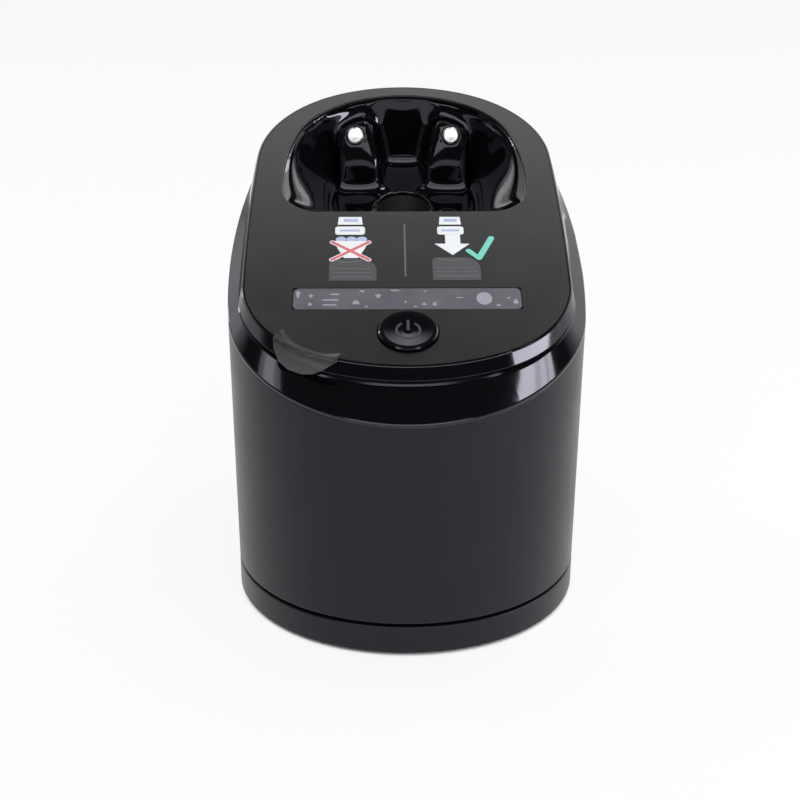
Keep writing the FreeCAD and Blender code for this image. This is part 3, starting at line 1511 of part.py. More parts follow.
# ---------------------------------------------------------------- release button

def make_release_button():
    """Push button in the back with a stem that passes over the column."""
    body = new_body("release_button")
    cap = new_sketch(body, "cap", "-Sizes.release_inner", "XZ_Plane")
    add_slot(cap, RELEASE_HEIGHT, "Sizes.release_half_length", "Sizes.release_radius")
    pad_down(body, cap, "Sizes.release_face - Sizes.release_inner")
    stem = new_sketch(body, "stem", "-Sizes.release_inner", "XZ_Plane")
    add_circle(stem, "0", RELEASE_HEIGHT, "Sizes.release_stem_radius")
    pad(body, stem, "Sizes.release_inner - Sizes.release_stem_tip")
    return body


def make_release_retainer():
    """Plate on the collar's end that the spring bears on and the stem passes through."""
    body = new_body("release_retainer")
    plate = new_sketch(body, "plate", "-Sizes.collar_end", "XZ_Plane")
    add_slot(plate, RELEASE_HEIGHT, "Sizes.release_half_length",
             "Sizes.release_radius + Sizes.release_gap + Sizes.collar_wall")
    pad(body, plate, "Sizes.retainer_thickness")
    hole = new_sketch(body, "hole", "-Sizes.collar_end", "XZ_Plane")
    add_circle(hole, "0", RELEASE_HEIGHT,
               "Sizes.release_stem_radius + Sizes.stud_clearance")
    pocket_both(body, hole, "2 * Sizes.retainer_thickness")
    return body


def make_release_spring():
    """Return spring of the release button."""
    body = turned("release_spring",
                  spring_profile("Sizes.release_stem_radius + 2 * Sizes.release_gap", "0",
                                 "Sizes.release_inner - Sizes.collar_end"))
    body.Placement = Placement(Vector(), Rotation(Vector(1, 0, 0), -90))
    put(body, "0", "Sizes.collar_end", RELEASE_HEIGHT)
    return body


def make_latch_spring():
    """Leaf on the chassis tab whose nose sits in the column's notch."""
    body = new_body("latch_spring")
    sketch = new_sketch(body, "profile", "-1 * Sizes.leaf_half_width", "YZ_Plane")
    root = less("Sizes.column_front", "Sizes.slot_gap")
    back = less("Sizes.column_rear", "Sizes.column_web", "Sizes.release_gap",
                "Sizes.leaf_thickness")
    nose = total(NOTCH_BOTTOM, "Sizes.notch_height / 2")
    thick = "Sizes.leaf_thickness"
    tail = total(RELEASE_HEIGHT, "Sizes.release_stem_radius")
    low = total(DECK_TOP, "Sizes.release_gap")
    path = [(root, low), (root, total(DECK_TOP, "Sizes.latch_tab_height")),
            (back, less(nose, "Sizes.notch_height / 3")),
            (total(back, "Sizes.leaf_nose"), nose),
            (back, total(nose, "Sizes.notch_height / 3")),
            (less("Sizes.release_stem_tip", thick, "Sizes.release_gap"), tail)]
    rear_side = [(total(y, thick), z) for y, z in reversed(path)]
    add_polygon(sketch, path + rear_side)
    pad(body, sketch, "2 * Sizes.leaf_half_width")
    return body


# ---------------------------------------------------------------- cartridge

def make_cartridge_tank():
    """Tub that holds the cleaning fluid."""
    body = new_body("cartridge_tank")
    pad(body, oval_sketch(body, "outside", CARTRIDGE, level=TRAY_INSIDE),
        less(CARTRIDGE_TOP, TRAY_INSIDE))
    pocket(body, oval_sketch(body, "inside", CARTRIDGE, "Sizes.cartridge_wall",
                             CARTRIDGE_TOP),
           less(CARTRIDGE_TOP, TRAY_INSIDE, "Sizes.cartridge_wall"))
    return body


def make_cartridge_lid():
    """Snap-on lid with a skirt, the pump's port and the drain mouth."""
    body = new_body("cartridge_lid")
    outset = "-Sizes.lid_gap - Sizes.lid_wall"
    bottom = less(CARTRIDGE_TOP, "Sizes.lid_skirt")
    pad(body, oval_sketch(body, "outside", CARTRIDGE, outset, bottom), less(LID_TOP, bottom))
    pocket_up(body, oval_sketch(body, "inside", CARTRIDGE, "-Sizes.lid_gap", bottom),
              "Sizes.lid_skirt")
    ports = new_sketch(body, "ports", LID_TOP)
    add_circle(ports, "0", "-Sizes.pump_station", "Sizes.pump_radius + Sizes.port_gap")
    add_circle(ports, "0", "Sizes.well_station", "Sizes.drain_mouth")
    pocket(body, ports, "2 * Sizes.lid_thickness")
    return body


def make_cartridge_seal():
    """Rubber ring round the pump's port."""
    inner = "Sizes.pump_radius + Sizes.seal_gap"
    body = turned("cartridge_seal", tube_profile(inner, total(inner, "Sizes.seal_width"),
                                                 LID_TOP, total(LID_TOP, "Sizes.seal_height")))
    put(body, y="-Sizes.pump_station")
    return body


def make_cartridge_filter():
    """Open-topped filter basket that hangs under the drain mouth."""
    inner = less("Sizes.filter_radius", "Sizes.filter_wall")
    low = less(CARTRIDGE_TOP, "Sizes.filter_length")
    floor = total(low, "Sizes.filter_wall")
    body = turned("cartridge_filter", [
        ("0", low), ("Sizes.filter_radius", low), ("Sizes.filter_radius", CARTRIDGE_TOP),
        (inner, CARTRIDGE_TOP), (inner, floor), ("0", floor)])
    put(body, y="Sizes.well_station")
    return body


# ---------------------------------------------------------------- pump

def make_pump_housing():
    """Stem of the pump: a tube from the deck to near the cartridge floor."""
    outer = "Sizes.pump_radius"
    inner = less(outer, "Sizes.pump_wall")
    low = "Sizes.pump_bottom"
    floor = total(low, "Sizes.pump_wall / 2")
    flange = "Sizes.pump_flange_radius"
    flange_low = less("Sizes.deck_height", "Sizes.pump_flange_thickness")
    body = turned("pump_housing", [
        ("Sizes.pump_intake", low), (outer, low), (outer, flange_low), (flange, flange_low),
        (flange, "Sizes.deck_height"), (inner, "Sizes.deck_height"), (inner, floor),
        ("Sizes.pump_intake", floor)])
    port = new_sketch(body, "outlet", plane="YZ_Plane")
    add_circle(port, "0", RISER_LOW, "Sizes.riser_radius - Sizes.riser_wall")
    pocket_up(body, port, "2 * Sizes.pump_radius")
    put(body, y="-Sizes.pump_station")
    return body


def make_pump_bearing():
    """Sleeve that guides the shaft in the pump's stem."""
    top = less("Sizes.deck_height", "Sizes.guide_gap")
    body = turned("pump_bearing", tube_profile(
        "Sizes.shaft_radius + Sizes.shaft_clearance", "Sizes.pump_radius - Sizes.pump_wall",
        less(top, "Sizes.bearing_height"), top))
    put(body, y="-Sizes.pump_station")
    return body


def make_pump_shaft():
    """Shaft from the motor to the impeller."""
    shaft = cylinder("pump_shaft", "Sizes.shaft_radius",
                     less(SHAFT_TOP, "Sizes.shaft_bottom"))
    shaft.Label = "pump_shaft"
    put(shaft, y="-Sizes.pump_station", z="Sizes.shaft_bottom")
    return shaft


def make_impeller():
    """Impeller: a plate, a hub on the shaft and straight blades in a polar pattern."""
    body = new_body("impeller")
    low = "Sizes.shaft_bottom"
    plate = new_sketch(body, "plate", low)
    add_circle(plate, "0", "0", "Sizes.impeller_radius")
    add_circle(plate, "0", "0", "Sizes.shaft_radius")
    pad(body, plate, "Sizes.impeller_plate")
    hub = new_sketch(body, "hub", low)
    add_circle(hub, "0", "0", "Sizes.impeller_hub")
    add_circle(hub, "0", "0", "Sizes.shaft_radius")
    pad(body, hub, "Sizes.impeller_height")
    blade = new_sketch(body, "blade", low)
    low_y, high_y = centred("Sizes.impeller_blade / 2")
    add_polygon(blade, rectangle("Sizes.impeller_hub - Sizes.impeller_blade / 2",
                                 "Sizes.impeller_radius", low_y, high_y))
    vane = pad(body, blade, "Sizes.impeller_height")
    document.recompute()
    wheel = body.newObject("PartDesign::PolarPattern", "impeller_blades")
    wheel.Originals = [vane]
    wheel.Axis = (blade, ["N_Axis"])
    wheel.Angle = 360.0
    wheel.Occurrences = BLADES
    body.Tip = wheel
    put(body, y="-Sizes.pump_station")
    return body


def make_pump_motor():
    """Motor can with the boss that centres it in the deck."""
    bore = total("Sizes.shaft_radius", "Sizes.shaft_clearance")
    boss = "Sizes.motor_boss_radius"
    blind = total(SHAFT_TOP, "Sizes.release_gap")
    top = MOTOR_TOP
    edge = "Sizes.motor_radius - Sizes.stud_edge"
    body = turned("pump_motor", [
        (bore, "Sizes.deck_height"), (boss, "Sizes.deck_height"), (boss, MOTOR_BOTTOM),
        ("Sizes.motor_radius", MOTOR_BOTTOM),
        ("Sizes.motor_radius", less(top, "Sizes.stud_edge")), (edge, top), ("0", top),
        ("0", blind), (bore, blind)])
    put(body, y="-Sizes.pump_station")
    return body


def make_motor_gasket():
    """Rubber ring under the motor."""
    body = turned("motor_gasket", tube_profile(
        "Sizes.motor_boss_radius + Sizes.fit_gap", "Sizes.gasket_radius", DECK_TOP,
        MOTOR_BOTTOM))
    put(body, y="-Sizes.pump_station")
    return body


def make_motor_clamp():
    """Ring with two ears that holds the motor down on the deck."""
    body = new_body("motor_clamp")
    inner = total("Sizes.motor_radius", "Sizes.window_gap")
    outer = total("Sizes.gasket_radius", "Sizes.clamp_wall")
    ears = new_sketch(body, "ears", DECK_TOP)
    reach = total(outer, "Sizes.clamp_ear")
    half = "Sizes.clamp_ear / 2"
    low, high = centred(half)
    add_polygon(ears, rectangle(low, high, "-1 * (%s)" % reach, reach))
    for y in clamp_screw_places():
        add_circle(ears, "0", y, "Sizes.screw_radius + Sizes.window_gap")
    pad(body, ears, "Sizes.clamp_ear_thickness")
    ring = new_sketch(body, "ring", DECK_TOP)
    add_circle(ring, "0", "0", outer)
    pad(body, ring, "Sizes.clamp_height")
    seat = new_sketch(body, "seat", DECK_TOP)
    add_circle(seat, "0", "0", "Sizes.gasket_radius + Sizes.window_gap")
    pocket_up(body, seat, "Sizes.clamp_height - Sizes.clamp_ear_thickness")
    hole = new_sketch(body, "hole", DECK_TOP)
    add_circle(hole, "0", "0", inner)
    pocket_up(body, hole, "2 * Sizes.clamp_height")
    put(body, y="-Sizes.pump_station")
    return body


def clamp_screw_places():
    """Front and rear places of the clamp's screws about the motor."""
    return centred("Sizes.gasket_radius + Sizes.clamp_wall + Sizes.clamp_ear / 2")


def make_clamp_screws():
    """Two screws that hold the clamp to the deck."""
    members = []
    seat = total(DECK_TOP, "Sizes.clamp_ear_thickness")
    head = total(seat, "Sizes.screw_head_height")
    for index, y in enumerate(clamp_screw_places()):
        screw = turned("clamp_screw_%d" % index, [
            ("0", seat), ("Sizes.screw_head_radius", seat), ("Sizes.screw_head_radius", head),
            ("0", head)])
        put(screw, y=less(y, "Sizes.pump_station"))
        members.append(screw)
    return group("clamp_screws", members)


def arc_corner(before, corner, after, radius):
    """Start, middle and end of the arc that rounds a corner of a route."""
    inward = (before - corner).normalize()
    outward = (after - corner).normalize()
    half = inward.getAngle(outward) / 2
    reach = radius / math.tan(half)
    centre = corner + (inward + outward).normalize() * (radius / math.sin(half))
    middle = centre + (corner - centre).normalize() * radius
    return corner + inward * reach, middle, corner + outward * reach


def route(points, radius):
    """Straight runs joined by tangent arcs."""
    edges = []
    here = points[0]
    for before, corner, after in zip(points, points[1:], points[2:]):
        start, middle, end = arc_corner(before, corner, after, radius)
        edges.append(Part.LineSegment(here, start).toShape())
        edges.append(Part.Arc(start, middle, end).toShape())
        here = end
    edges.append(Part.LineSegment(here, points[-1]).toShape())
    return Part.Wire(edges)


def riser_points():
    """Corners of the riser: out of the stem, up through the deck, back and up the nozzle."""
    side = value("Sizes.riser_side")
    pump = -value("Sizes.pump_station")
    low = value(RISER_LOW)
    high = value(RISER_HIGH)
    nozzle = value("Sizes.nozzle_side")
    start = value("Sizes.pump_radius + Sizes.release_gap")
    tilt = math.radians(value(TILT))
    drop = value(NOZZLE_LOW)
    along = value("Sizes.nozzle_along")
    end = Vector(nozzle, along * math.cos(tilt) - drop * math.sin(tilt),
                 value("Sizes.panel_height") + along * math.sin(tilt) + drop * math.cos(tilt))
    below = Vector(nozzle, end.y + (end.z - high) * math.tan(tilt), high)
    return [Vector(start, pump, low), Vector(side, pump, low), Vector(side, pump, high), below,
            end]


def make_riser_tube():
    """Hose from the pump's stem through the deck and back to the nozzle."""
    points = riser_points()
    path = route(points, value("Sizes.riser_bend"))
    radius = value("Sizes.riser_radius")
    pipes = []
    for size in (radius, radius - value("Sizes.riser_wall")):
        profile = Part.Wire([Part.makeCircle(size, points[0], Vector(1, 0, 0))])
        pipes.append(path.makePipeShell([profile], True, False))
    tube = document.addObject("Part::Feature", "riser_tube")
    tube.Shape = pipes[0].cut(pipes[1])
    tube.Label = "riser_tube"
    return tube


# ---------------------------------------------------------------- hand-over

def make_contacts():
    """The two sprung contacts and their springs."""
    return [make_contact_stud("contact_left", "-1"), make_contact_stud("contact_right", "1"),
            make_contact_spring("contact_spring_left", "-1"),
            make_contact_spring("contact_spring_right", "1")]


BUILDERS = [
    make_base_tray, make_base_feet, make_power_inlet, make_inlet_pins, make_guide_column,
    make_column_screws, make_cartridge_tank, make_cartridge_lid, make_cartridge_seal,
    make_cartridge_filter, make_outer_shell, make_bevel_ring, make_top_cover, make_top_panel,
    make_cradle, make_drain_cup, make_drain_strainer, make_fluid_nozzle, make_display_lens,
    make_light_guide, make_control_board, make_board_screws, make_tact_switch,
    make_status_lights, make_chassis, make_guide_shoes, make_housing_screws,
    make_release_retainer, make_latch_spring, make_pump_motor, make_motor_gasket,
    make_motor_clamp, make_clamp_screws, make_pump_housing, make_pump_bearing, make_riser_tube,
    make_power_button, make_button_spring, make_release_button, make_release_spring,
    make_pump_shaft, make_impeller,
]


def shape_before_cut(item):
    """What a cutting feature started from, or nothing for other features."""
    if item.TypeId == "Part::Cut":
        return item.Base.Shape
    if item.TypeId in CUTS and item.BaseFeature is not None:
        return item.BaseFeature.Shape
    return None


def check_document(nodes):
    """Stops if a feature failed, a cut removed nothing or a sub-part has no sound shape."""
    for item in document.Objects:
        if "Invalid" in item.State or "Error" in item.State:
            raise RuntimeError("%s did not build: %s" % (item.Name, item.State))
        before = shape_before_cut(item)
        if before is not None and item.Shape.Volume >= before.Volume - SMALLEST_CUT:
            raise RuntimeError("%s cuts nothing" % item.Name)
    for node in nodes:
        if node.Shape.isNull() or not node.Shape.isValid():
            raise RuntimeError("%s has no valid shape" % node.Label)


def main():
    """Builds every sub-part, checks the document and writes one file for each node."""
    nodes = [builder() for builder in BUILDERS] + make_contacts()
    document.recompute()
    check_document(nodes)
    os.makedirs("parts", exist_ok=True)
    for node in nodes:
        node.Shape.exportStep("parts/%s.step" % node.Label)


main()
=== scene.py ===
"""Looks of the shaver cleaning station. Metres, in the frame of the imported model."""
import json
import math

import bmesh
import bpy
import numpy
from mathutils import Matrix, Vector
from mathutils.bvhtree import BVHTree


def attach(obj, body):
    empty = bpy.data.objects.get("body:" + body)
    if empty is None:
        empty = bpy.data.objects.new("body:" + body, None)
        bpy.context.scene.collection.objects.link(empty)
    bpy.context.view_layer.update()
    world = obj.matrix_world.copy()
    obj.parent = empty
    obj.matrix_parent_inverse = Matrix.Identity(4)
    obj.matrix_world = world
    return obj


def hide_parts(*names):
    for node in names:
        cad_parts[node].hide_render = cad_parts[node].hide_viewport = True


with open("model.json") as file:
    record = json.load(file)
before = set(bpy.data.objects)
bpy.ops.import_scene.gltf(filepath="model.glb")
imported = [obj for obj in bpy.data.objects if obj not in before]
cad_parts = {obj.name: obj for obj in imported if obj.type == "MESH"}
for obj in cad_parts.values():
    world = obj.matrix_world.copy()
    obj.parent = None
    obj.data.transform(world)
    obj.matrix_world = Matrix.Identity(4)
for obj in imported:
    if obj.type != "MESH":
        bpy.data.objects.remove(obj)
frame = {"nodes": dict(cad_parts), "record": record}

MM = 0.001
TILT = math.radians(21.0)
PANEL_HEIGHT = 111.6 * MM
NODES = frame["nodes"]
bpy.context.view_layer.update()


def on_top(x, along, height=0.0):
    """A point of the sloping top: across, up the slope and off the panel face, in mm."""
    return Vector((x * MM,
                   (along * math.cos(TILT) - height * math.sin(TILT)) * MM,
                   PANEL_HEIGHT + (along * math.sin(TILT) + height * math.cos(TILT)) * MM))


def to_panel(point):
    """Across, up the slope and off the panel face, in mm, of a point in metres."""
    across, back, up = point.x / MM, point.y / MM, (point.z - PANEL_HEIGHT) / MM
    return (across, back * math.cos(TILT) + up * math.sin(TILT),
            up * math.cos(TILT) - back * math.sin(TILT))


def eased(value, low, high):
    """0 below low, 1 above high and a smooth ramp between."""
    share = min(1.0, max(0.0, (value - low) / (high - low)))
    return share * share * (3 - 2 * share)


def new_piece(name, mesh):
    """Puts a mesh into the scene under a name."""
    item = bpy.data.objects.new(name, mesh)
    bpy.context.scene.collection.objects.link(item)
    return item


def closed_piece(name, shape, material):
    """Makes a piece of one material from a closed shape, with its normals outward."""
    bmesh.ops.recalc_face_normals(shape, faces=shape.faces)
    mesh = bpy.data.meshes.new(name)
    shape.to_mesh(mesh)
    shape.free()
    mesh.materials.append(material)
    return new_piece(name, mesh)


# ---------------------------------------------------------------- materials

DRIFT_SCALE = 60.0                       # noise cells per metre in the slow drift of a plastic
INK_ROUGHNESS = 0.45
PANEL_COLOUR = (0.0060, 0.0058, 0.0066)
FILM_TONES = ((0.064, 0.063, 0.070), (0.082, 0.081, 0.089))
FILM_CORNER = (-11.5, -29.3, 0.0)        # middle of the panel's rounded corner, in mm
FILM_FADE = (0.0362, 0.0435)             # from the corner's middle, in metres
VIOLET = (0.87, 0.85, 1.0)


def new_material(name):
    """A material with its node tree and its shader."""
    material = bpy.data.materials.new(name)
    material.use_nodes = True
    tree = material.node_tree
    shader = tree.nodes["Principled BSDF"]
    return material, tree, shader


def noise(tree, scale, detail=3.0):
    """A noise texture in object coordinates."""
    coordinates = tree.nodes.new("ShaderNodeTexCoord")
    texture = tree.nodes.new("ShaderNodeTexNoise")
    texture.inputs["Scale"].default_value = scale
    texture.inputs["Detail"].default_value = detail
    tree.links.new(coordinates.outputs["Object"], texture.inputs["Vector"])
    return texture.outputs["Fac"]


def span(tree, source, low, high, source_low=0.3, source_high=0.7):
    """Maps source_low to source_high onto low to high, and no further."""
    node = tree.nodes.new("ShaderNodeMapRange")
    node.inputs["From Min"].default_value = source_low
    node.inputs["From Max"].default_value = source_high
    node.inputs["To Min"].default_value = low
    node.inputs["To Max"].default_value = high
    tree.links.new(source, node.inputs["Value"])
    return node.outputs["Result"]


def combined(tree, operation, first, second):
    """The result of a Math node on two values."""
    node = tree.nodes.new("ShaderNodeMath")
    node.operation = operation
    tree.links.new(first, node.inputs[0])
    tree.links.new(second, node.inputs[1])
    return node.outputs[0]


def blend_colours(tree, source, first, second):
    """Mixes two colours by a value."""
    node = tree.nodes.new("ShaderNodeMix")
    node.data_type = "RGBA"
    node.inputs[6].default_value = (*first, 1.0)
    node.inputs[7].default_value = (*second, 1.0)
    tree.links.new(source, node.inputs[0])
    return node.outputs[2]


def add_bump(tree, shader, source, strength, distance):
    """Raises the surface by a value."""
    bump = tree.nodes.new("ShaderNodeBump")
    bump.inputs["Strength"].default_value = strength
    bump.inputs["Distance"].default_value = distance
    tree.links.new(source, bump.inputs["Height"])
    tree.links.new(bump.outputs["Normal"], shader.inputs["Normal"])


def plastic(name, colour, rough, grain=0.15, grain_scale=2600.0, spread=0.08, spec=0.5,
            tint=(1.0, 1.0, 1.0)):
    """Moulded plastic: a slow drift of tone and gloss over a fine grain."""
    material, tree, shader = new_material(name)
    slow = noise(tree, DRIFT_SCALE)
    drift = span(tree, slow, 0.0, 1.0)
    darker = [c * (1 - spread) for c in colour]
    lighter = [min(1.0, c * (1 + spread)) for c in colour]
    tree.links.new(blend_colours(tree, drift, darker, lighter), shader.inputs["Base Color"])
    tree.links.new(span(tree, slow, rough * 0.93, min(1.0, rough * 1.07)),
                   shader.inputs["Roughness"])
    shader.inputs["Specular IOR Level"].default_value = spec
    shader.inputs["Specular Tint"].default_value = (*tint, 1.0)
    if grain:
        add_bump(tree, shader, noise(tree, grain_scale, 2.0), grain, 0.00002)
    return material


def metal(name, colour, rough):
    """Plated metal with a fine uneven polish."""
    material, tree, shader = new_material(name)
    marks = noise(tree, 900.0, 4.0)
    shader.inputs["Metallic"].default_value = 1.0
    tree.links.new(blend_colours(tree, span(tree, marks, 0.0, 1.0),
                                 [c * 0.9 for c in colour], colour),
                   shader.inputs["Base Color"])
    tree.links.new(span(tree, marks, rough * 0.7, rough * 1.3), shader.inputs["Roughness"])
    add_bump(tree, shader, marks, 0.08, 0.00001)
    return material


def see_through(name, colour, rough, weight):
    """Clear or frosted plastic."""
    material, tree, shader = new_material(name)
    cloud = noise(tree, 120.0, 3.0)
    tree.links.new(blend_colours(tree, span(tree, cloud, 0.0, 1.0),
                                 [c * 0.94 for c in colour], colour),
                   shader.inputs["Base Color"])
    tree.links.new(span(tree, cloud, rough * 0.8, rough * 1.2), shader.inputs["Roughness"])
    shader.inputs["Transmission Weight"].default_value = weight
    shader.inputs["IOR"].default_value = 1.49
    return material


def paint(name, colour):
    """Printed ink: a thin opaque film with slightly uneven cover."""
    material, tree, shader = new_material(name)
    cover = noise(tree, 1400.0, 4.0)
    tree.links.new(blend_colours(tree, span(tree, cover, 0.0, 1.0),
                                 [c * 0.9 for c in colour], colour),
                   shader.inputs["Base Color"])
    shader.inputs["Roughness"].default_value = INK_ROUGHNESS
    add_bump(tree, shader, cover, 0.1, 0.00001)
    return material


def transit_film():
    """Thin matt film: as dark as the panel where it lies on it, paler over the rim."""
    material, tree, shader = new_material("transit_film")
    coordinates = tree.nodes.new("ShaderNodeTexCoord")
    reach = tree.nodes.new("ShaderNodeVectorMath")
    reach.operation = "DISTANCE"
    reach.inputs[1].default_value = on_top(*FILM_CORNER)
    tree.links.new(coordinates.outputs["Object"], reach.inputs[0])
    paler = span(tree, reach.outputs["Value"], 0.0, 1.0, *FILM_FADE)
    cloud = noise(tree, 240.0, 4.0)
    tone = blend_colours(tree, span(tree, cloud, 0.0, 1.0), *FILM_TONES)
    mix = tree.nodes.new("ShaderNodeMix")
    mix.data_type = "RGBA"
    mix.inputs[6].default_value = (*PANEL_COLOUR, 1.0)
    tree.links.new(tone, mix.inputs[7])
    tree.links.new(paler, mix.inputs[0])
    tree.links.new(mix.outputs[2], shader.inputs["Base Color"])
    tree.links.new(span(tree, paler, 0.27, 0.46, 0.0, 1.0), shader.inputs["Roughness"])
    shader.inputs["Specular IOR Level"].default_value = 0.4
    return material


def smoked_window():
    """Display window: smoked plastic over a cloudy backlight film."""
    material, tree, shader = new_material("smoked_window")
    cloud = noise(tree, 130.0, 1.5)
    tree.links.new(blend_colours(tree, span(tree, cloud, 0.0, 1.0),
                                 (0.072, 0.069, 0.088), (0.096, 0.092, 0.113)),
                   shader.inputs["Base Color"])
    tree.links.new(span(tree, cloud, 0.29, 0.33), shader.inputs["Roughness"])
    return material


MATERIALS = {
    "charcoal_satin": plastic("charcoal_satin", (0.0042, 0.0039, 0.0056), 0.35, 0.10, spec=0.34,
                              tint=VIOLET),
    "charcoal_gloss": plastic("charcoal_gloss", (0.0024, 0.0022, 0.0034), 0.09, 0.03, spread=0.05,
                              spec=0.44, tint=VIOLET),
    "gloss_black": plastic("gloss_black", (0.0020, 0.0019, 0.0028), 0.06, 0.0, spread=0.05,
                           tint=VIOLET),
    "matt_panel": plastic("matt_panel", PANEL_COLOUR, 0.26, 0.10, 3200.0, spec=0.38),
    "black_plastic": plastic("black_plastic", (0.018, 0.018, 0.02), 0.42),
    "smoked_window": smoked_window(),
    "frosted_white": see_through("frosted_white", (0.85, 0.86, 0.88), 0.5, 0.35),
    "board_green": plastic("board_green", (0.012, 0.10, 0.045), 0.35),
    "white_acetal": plastic("white_acetal", (0.72, 0.72, 0.70), 0.4, spread=0.03),
    "cartridge_blue": plastic("cartridge_blue", (0.03, 0.12, 0.36), 0.38),
    "translucent_tank": see_through("translucent_tank", (0.70, 0.80, 0.90), 0.35, 0.45),
    "hose_clear": see_through("hose_clear", (0.80, 0.83, 0.85), 0.25, 0.5),
    "foot_rubber": plastic("foot_rubber", (0.02, 0.02, 0.02), 0.8, 0.35, 1800.0),
    "plated_steel": metal("plated_steel", (0.60, 0.60, 0.61), 0.28),
    "steel_screws": metal("steel_screws", (0.55, 0.55, 0.56), 0.34),
    "plated_pins": metal("plated_pins", (0.90, 0.90, 0.90), 0.34),
}
SLOTS = {row["node"]: row["material_slot"] for row in frame["record"]["subparts"]}


def dress_cad_nodes():
    """Gives every CAD node the material of its slot."""
    for name, item in NODES.items():
        material = MATERIALS[SLOTS[name]]
        item.data.materials.clear()
        item.data.materials.append(material)


dress_cad_nodes()


# ---------------------------------------------------------------- moulded cradle

# Lengths are in mm, on the panel's axes: across, up the slope and off the panel.
# A hold is the distance at which the lining starts to flow and the one at which it is free.
WELL, WELL_HOLD = (0.0, 41.7), (9.8, 12.5)
NOZZLE_HOLE, NOZZLE_HOLD = (15.0, 35.0), (3.6, 5.2)
STUD_PLACE = Vector((16.8, 61.0, -7.5))
STUD_LEAN = math.radians(36.0)
STUD_AXIS = Vector((0, -math.cos(STUD_LEAN), math.sin(STUD_LEAN)))
STUD_HOLD = (3.4, 5.4)
RIM_HOLD, LOBE_RIM_HOLD = (0.9, 3.0), (0.6, 1.8)
LOBE_REACH, LOBE_BACK = (9, 27), 60      # the lobes' place across and up the slope
CROWN_REACH, CROWN_FACING = (8, 26), 0.8
CROWN_FLAT = 4.0                         # radius of the flat round a stud
LOBE_CROWN = 70.0                        # twice the radius of a lobe's crowned front
WALL_BOW = 7.0                           # how far the side walls bow in at the floor
WALL_ACROSS, WALL_DEPTH = (22.0, 31.0), (7.0, 25.0)
LINING_TOP = -1.0
CRADLE_VOXEL = 0.0006                    # metres
SOFTEN_PASSES = 3
FLOW_PASSES = 110
FLOW_STEP = 0.5
LOOKOUTS = ((0, 38, -6), (34, 42, -4), (-34, 42, -4), (0, 62, -6), (30, 25, -5), (-30, 25, -5),
            (0, 40, 5), (16, 64, 14), (-16, 64, 14), (16, 50, 14), (-16, 50, 14))


def off_bore(place):
    """Distance from a contact stud's axis, in mm."""
    reach = Vector((abs(place[0]), place[1], place[2])) - STUD_PLACE
    return (reach - STUD_AXIS * reach.dot(STUD_AXIS)).length


def freedom(place):
    """How far a point of the lining may flow: not at the rim, the well and the bores."""
    x, along, height = place
    over_lobe = along > LOBE_BACK and LOBE_REACH[0] < abs(x) < LOBE_REACH[1]
    return (eased(-height, *(LOBE_RIM_HOLD if over_lobe else RIM_HOLD))
            * eased(off_bore(place), *STUD_HOLD)
            * eased(math.dist((x, along), WELL), *WELL_HOLD)
            * eased(math.dist((x, along), NOZZLE_HOLE), *NOZZLE_HOLD))


def lining_weights(shape):
    """1 for the mesh corners that a lookout in or over the hollow sees, 0 for the others."""
    skin = BVHTree.FromBMesh(shape)
    weights = numpy.zeros(len(shape.verts))
    for index, corner in enumerate(shape.verts):
        if to_panel(corner.co)[2] > LINING_TOP:
            continue
        start = corner.co + corner.normal * 0.5 * MM
        for lookout in LOOKOUTS:
            way = on_top(*lookout) - start
            if corner.normal.dot(way) > 0 and not skin.ray_cast(start, way.normalized(),
                                                                 way.length)[0]:
                weights[index] = 1.0
                break
    return weights


def averaged(values, first, second, count):
    """Each mesh corner's neighbours' mean of some values."""
    total = numpy.zeros(values.shape)
    for column in range(values.shape[1]):
        total[:, column] = (numpy.bincount(first, values[second, column], len(values))
                            + numpy.bincount(second, values[first, column], len(values)))
    return total / count


def shaped(place, normal):
    """The moulding's own forms: crowned lobe fronts and walls that bow in to the floor."""
    x, _, height = place
    move = Vector((0, 0, 0))
    if normal.dot(STUD_AXIS) > CROWN_FACING and CROWN_REACH[0] < abs(x) < CROWN_REACH[1]:
        move -= STUD_AXIS * max(0.0, off_bore(place) - CROWN_FLAT) ** 2 / LOBE_CROWN
    inward = WALL_BOW * eased(abs(x), *WALL_ACROSS) * eased(-height, *WALL_DEPTH)
    move.x -= math.copysign(inward, x)
    return move


def voxel_mesh(item):
    """A closed piece's mesh made anew, of small even faces."""
    remesh = item.modifiers.new("remesh", "REMESH")
    remesh.mode = "VOXEL"
    remesh.voxel_size = CRADLE_VOXEL
    state = bpy.context.evaluated_depsgraph_get()
    mesh = bpy.data.meshes.new_from_object(item.evaluated_get(state))
    item.modifiers.clear()
    return mesh


def flow_lining(shape):
    """Shapes the lining and lets its forms flow into each other; the rest stays."""
    shape.verts.ensure_lookup_table()
    edges = numpy.array([[end.index for end in edge.verts] for edge in shape.edges])
    first, second = edges[:, 0], edges[:, 1]
    count = (numpy.bincount(first, minlength=len(shape.verts))
             + numpy.bincount(second, minlength=len(shape.verts))).reshape(-1, 1)
    places = [to_panel(corner.co) for corner in shape.verts]
    lining = lining_weights(shape).reshape(-1, 1)
    for _ in range(SOFTEN_PASSES):
        lining = averaged(lining, first, second, count)
    lining = numpy.clip(2 * lining, 0, 1)
    loose = lining * numpy.array([freedom(place) for place in places]).reshape(-1, 1)
    tilt = Matrix.Rotation(-TILT, 3, "X")
    points = numpy.array(places)
    points += loose * numpy.array([shaped(place, tilt @ corner.normal)
                                   for place, corner in zip(places, shape.verts)])
    for _ in range(FLOW_PASSES):
        points += FLOW_STEP * loose * (averaged(points, first, second, count) - points)
    for corner, place in zip(shape.verts, points):
        corner.co = on_top(*place)


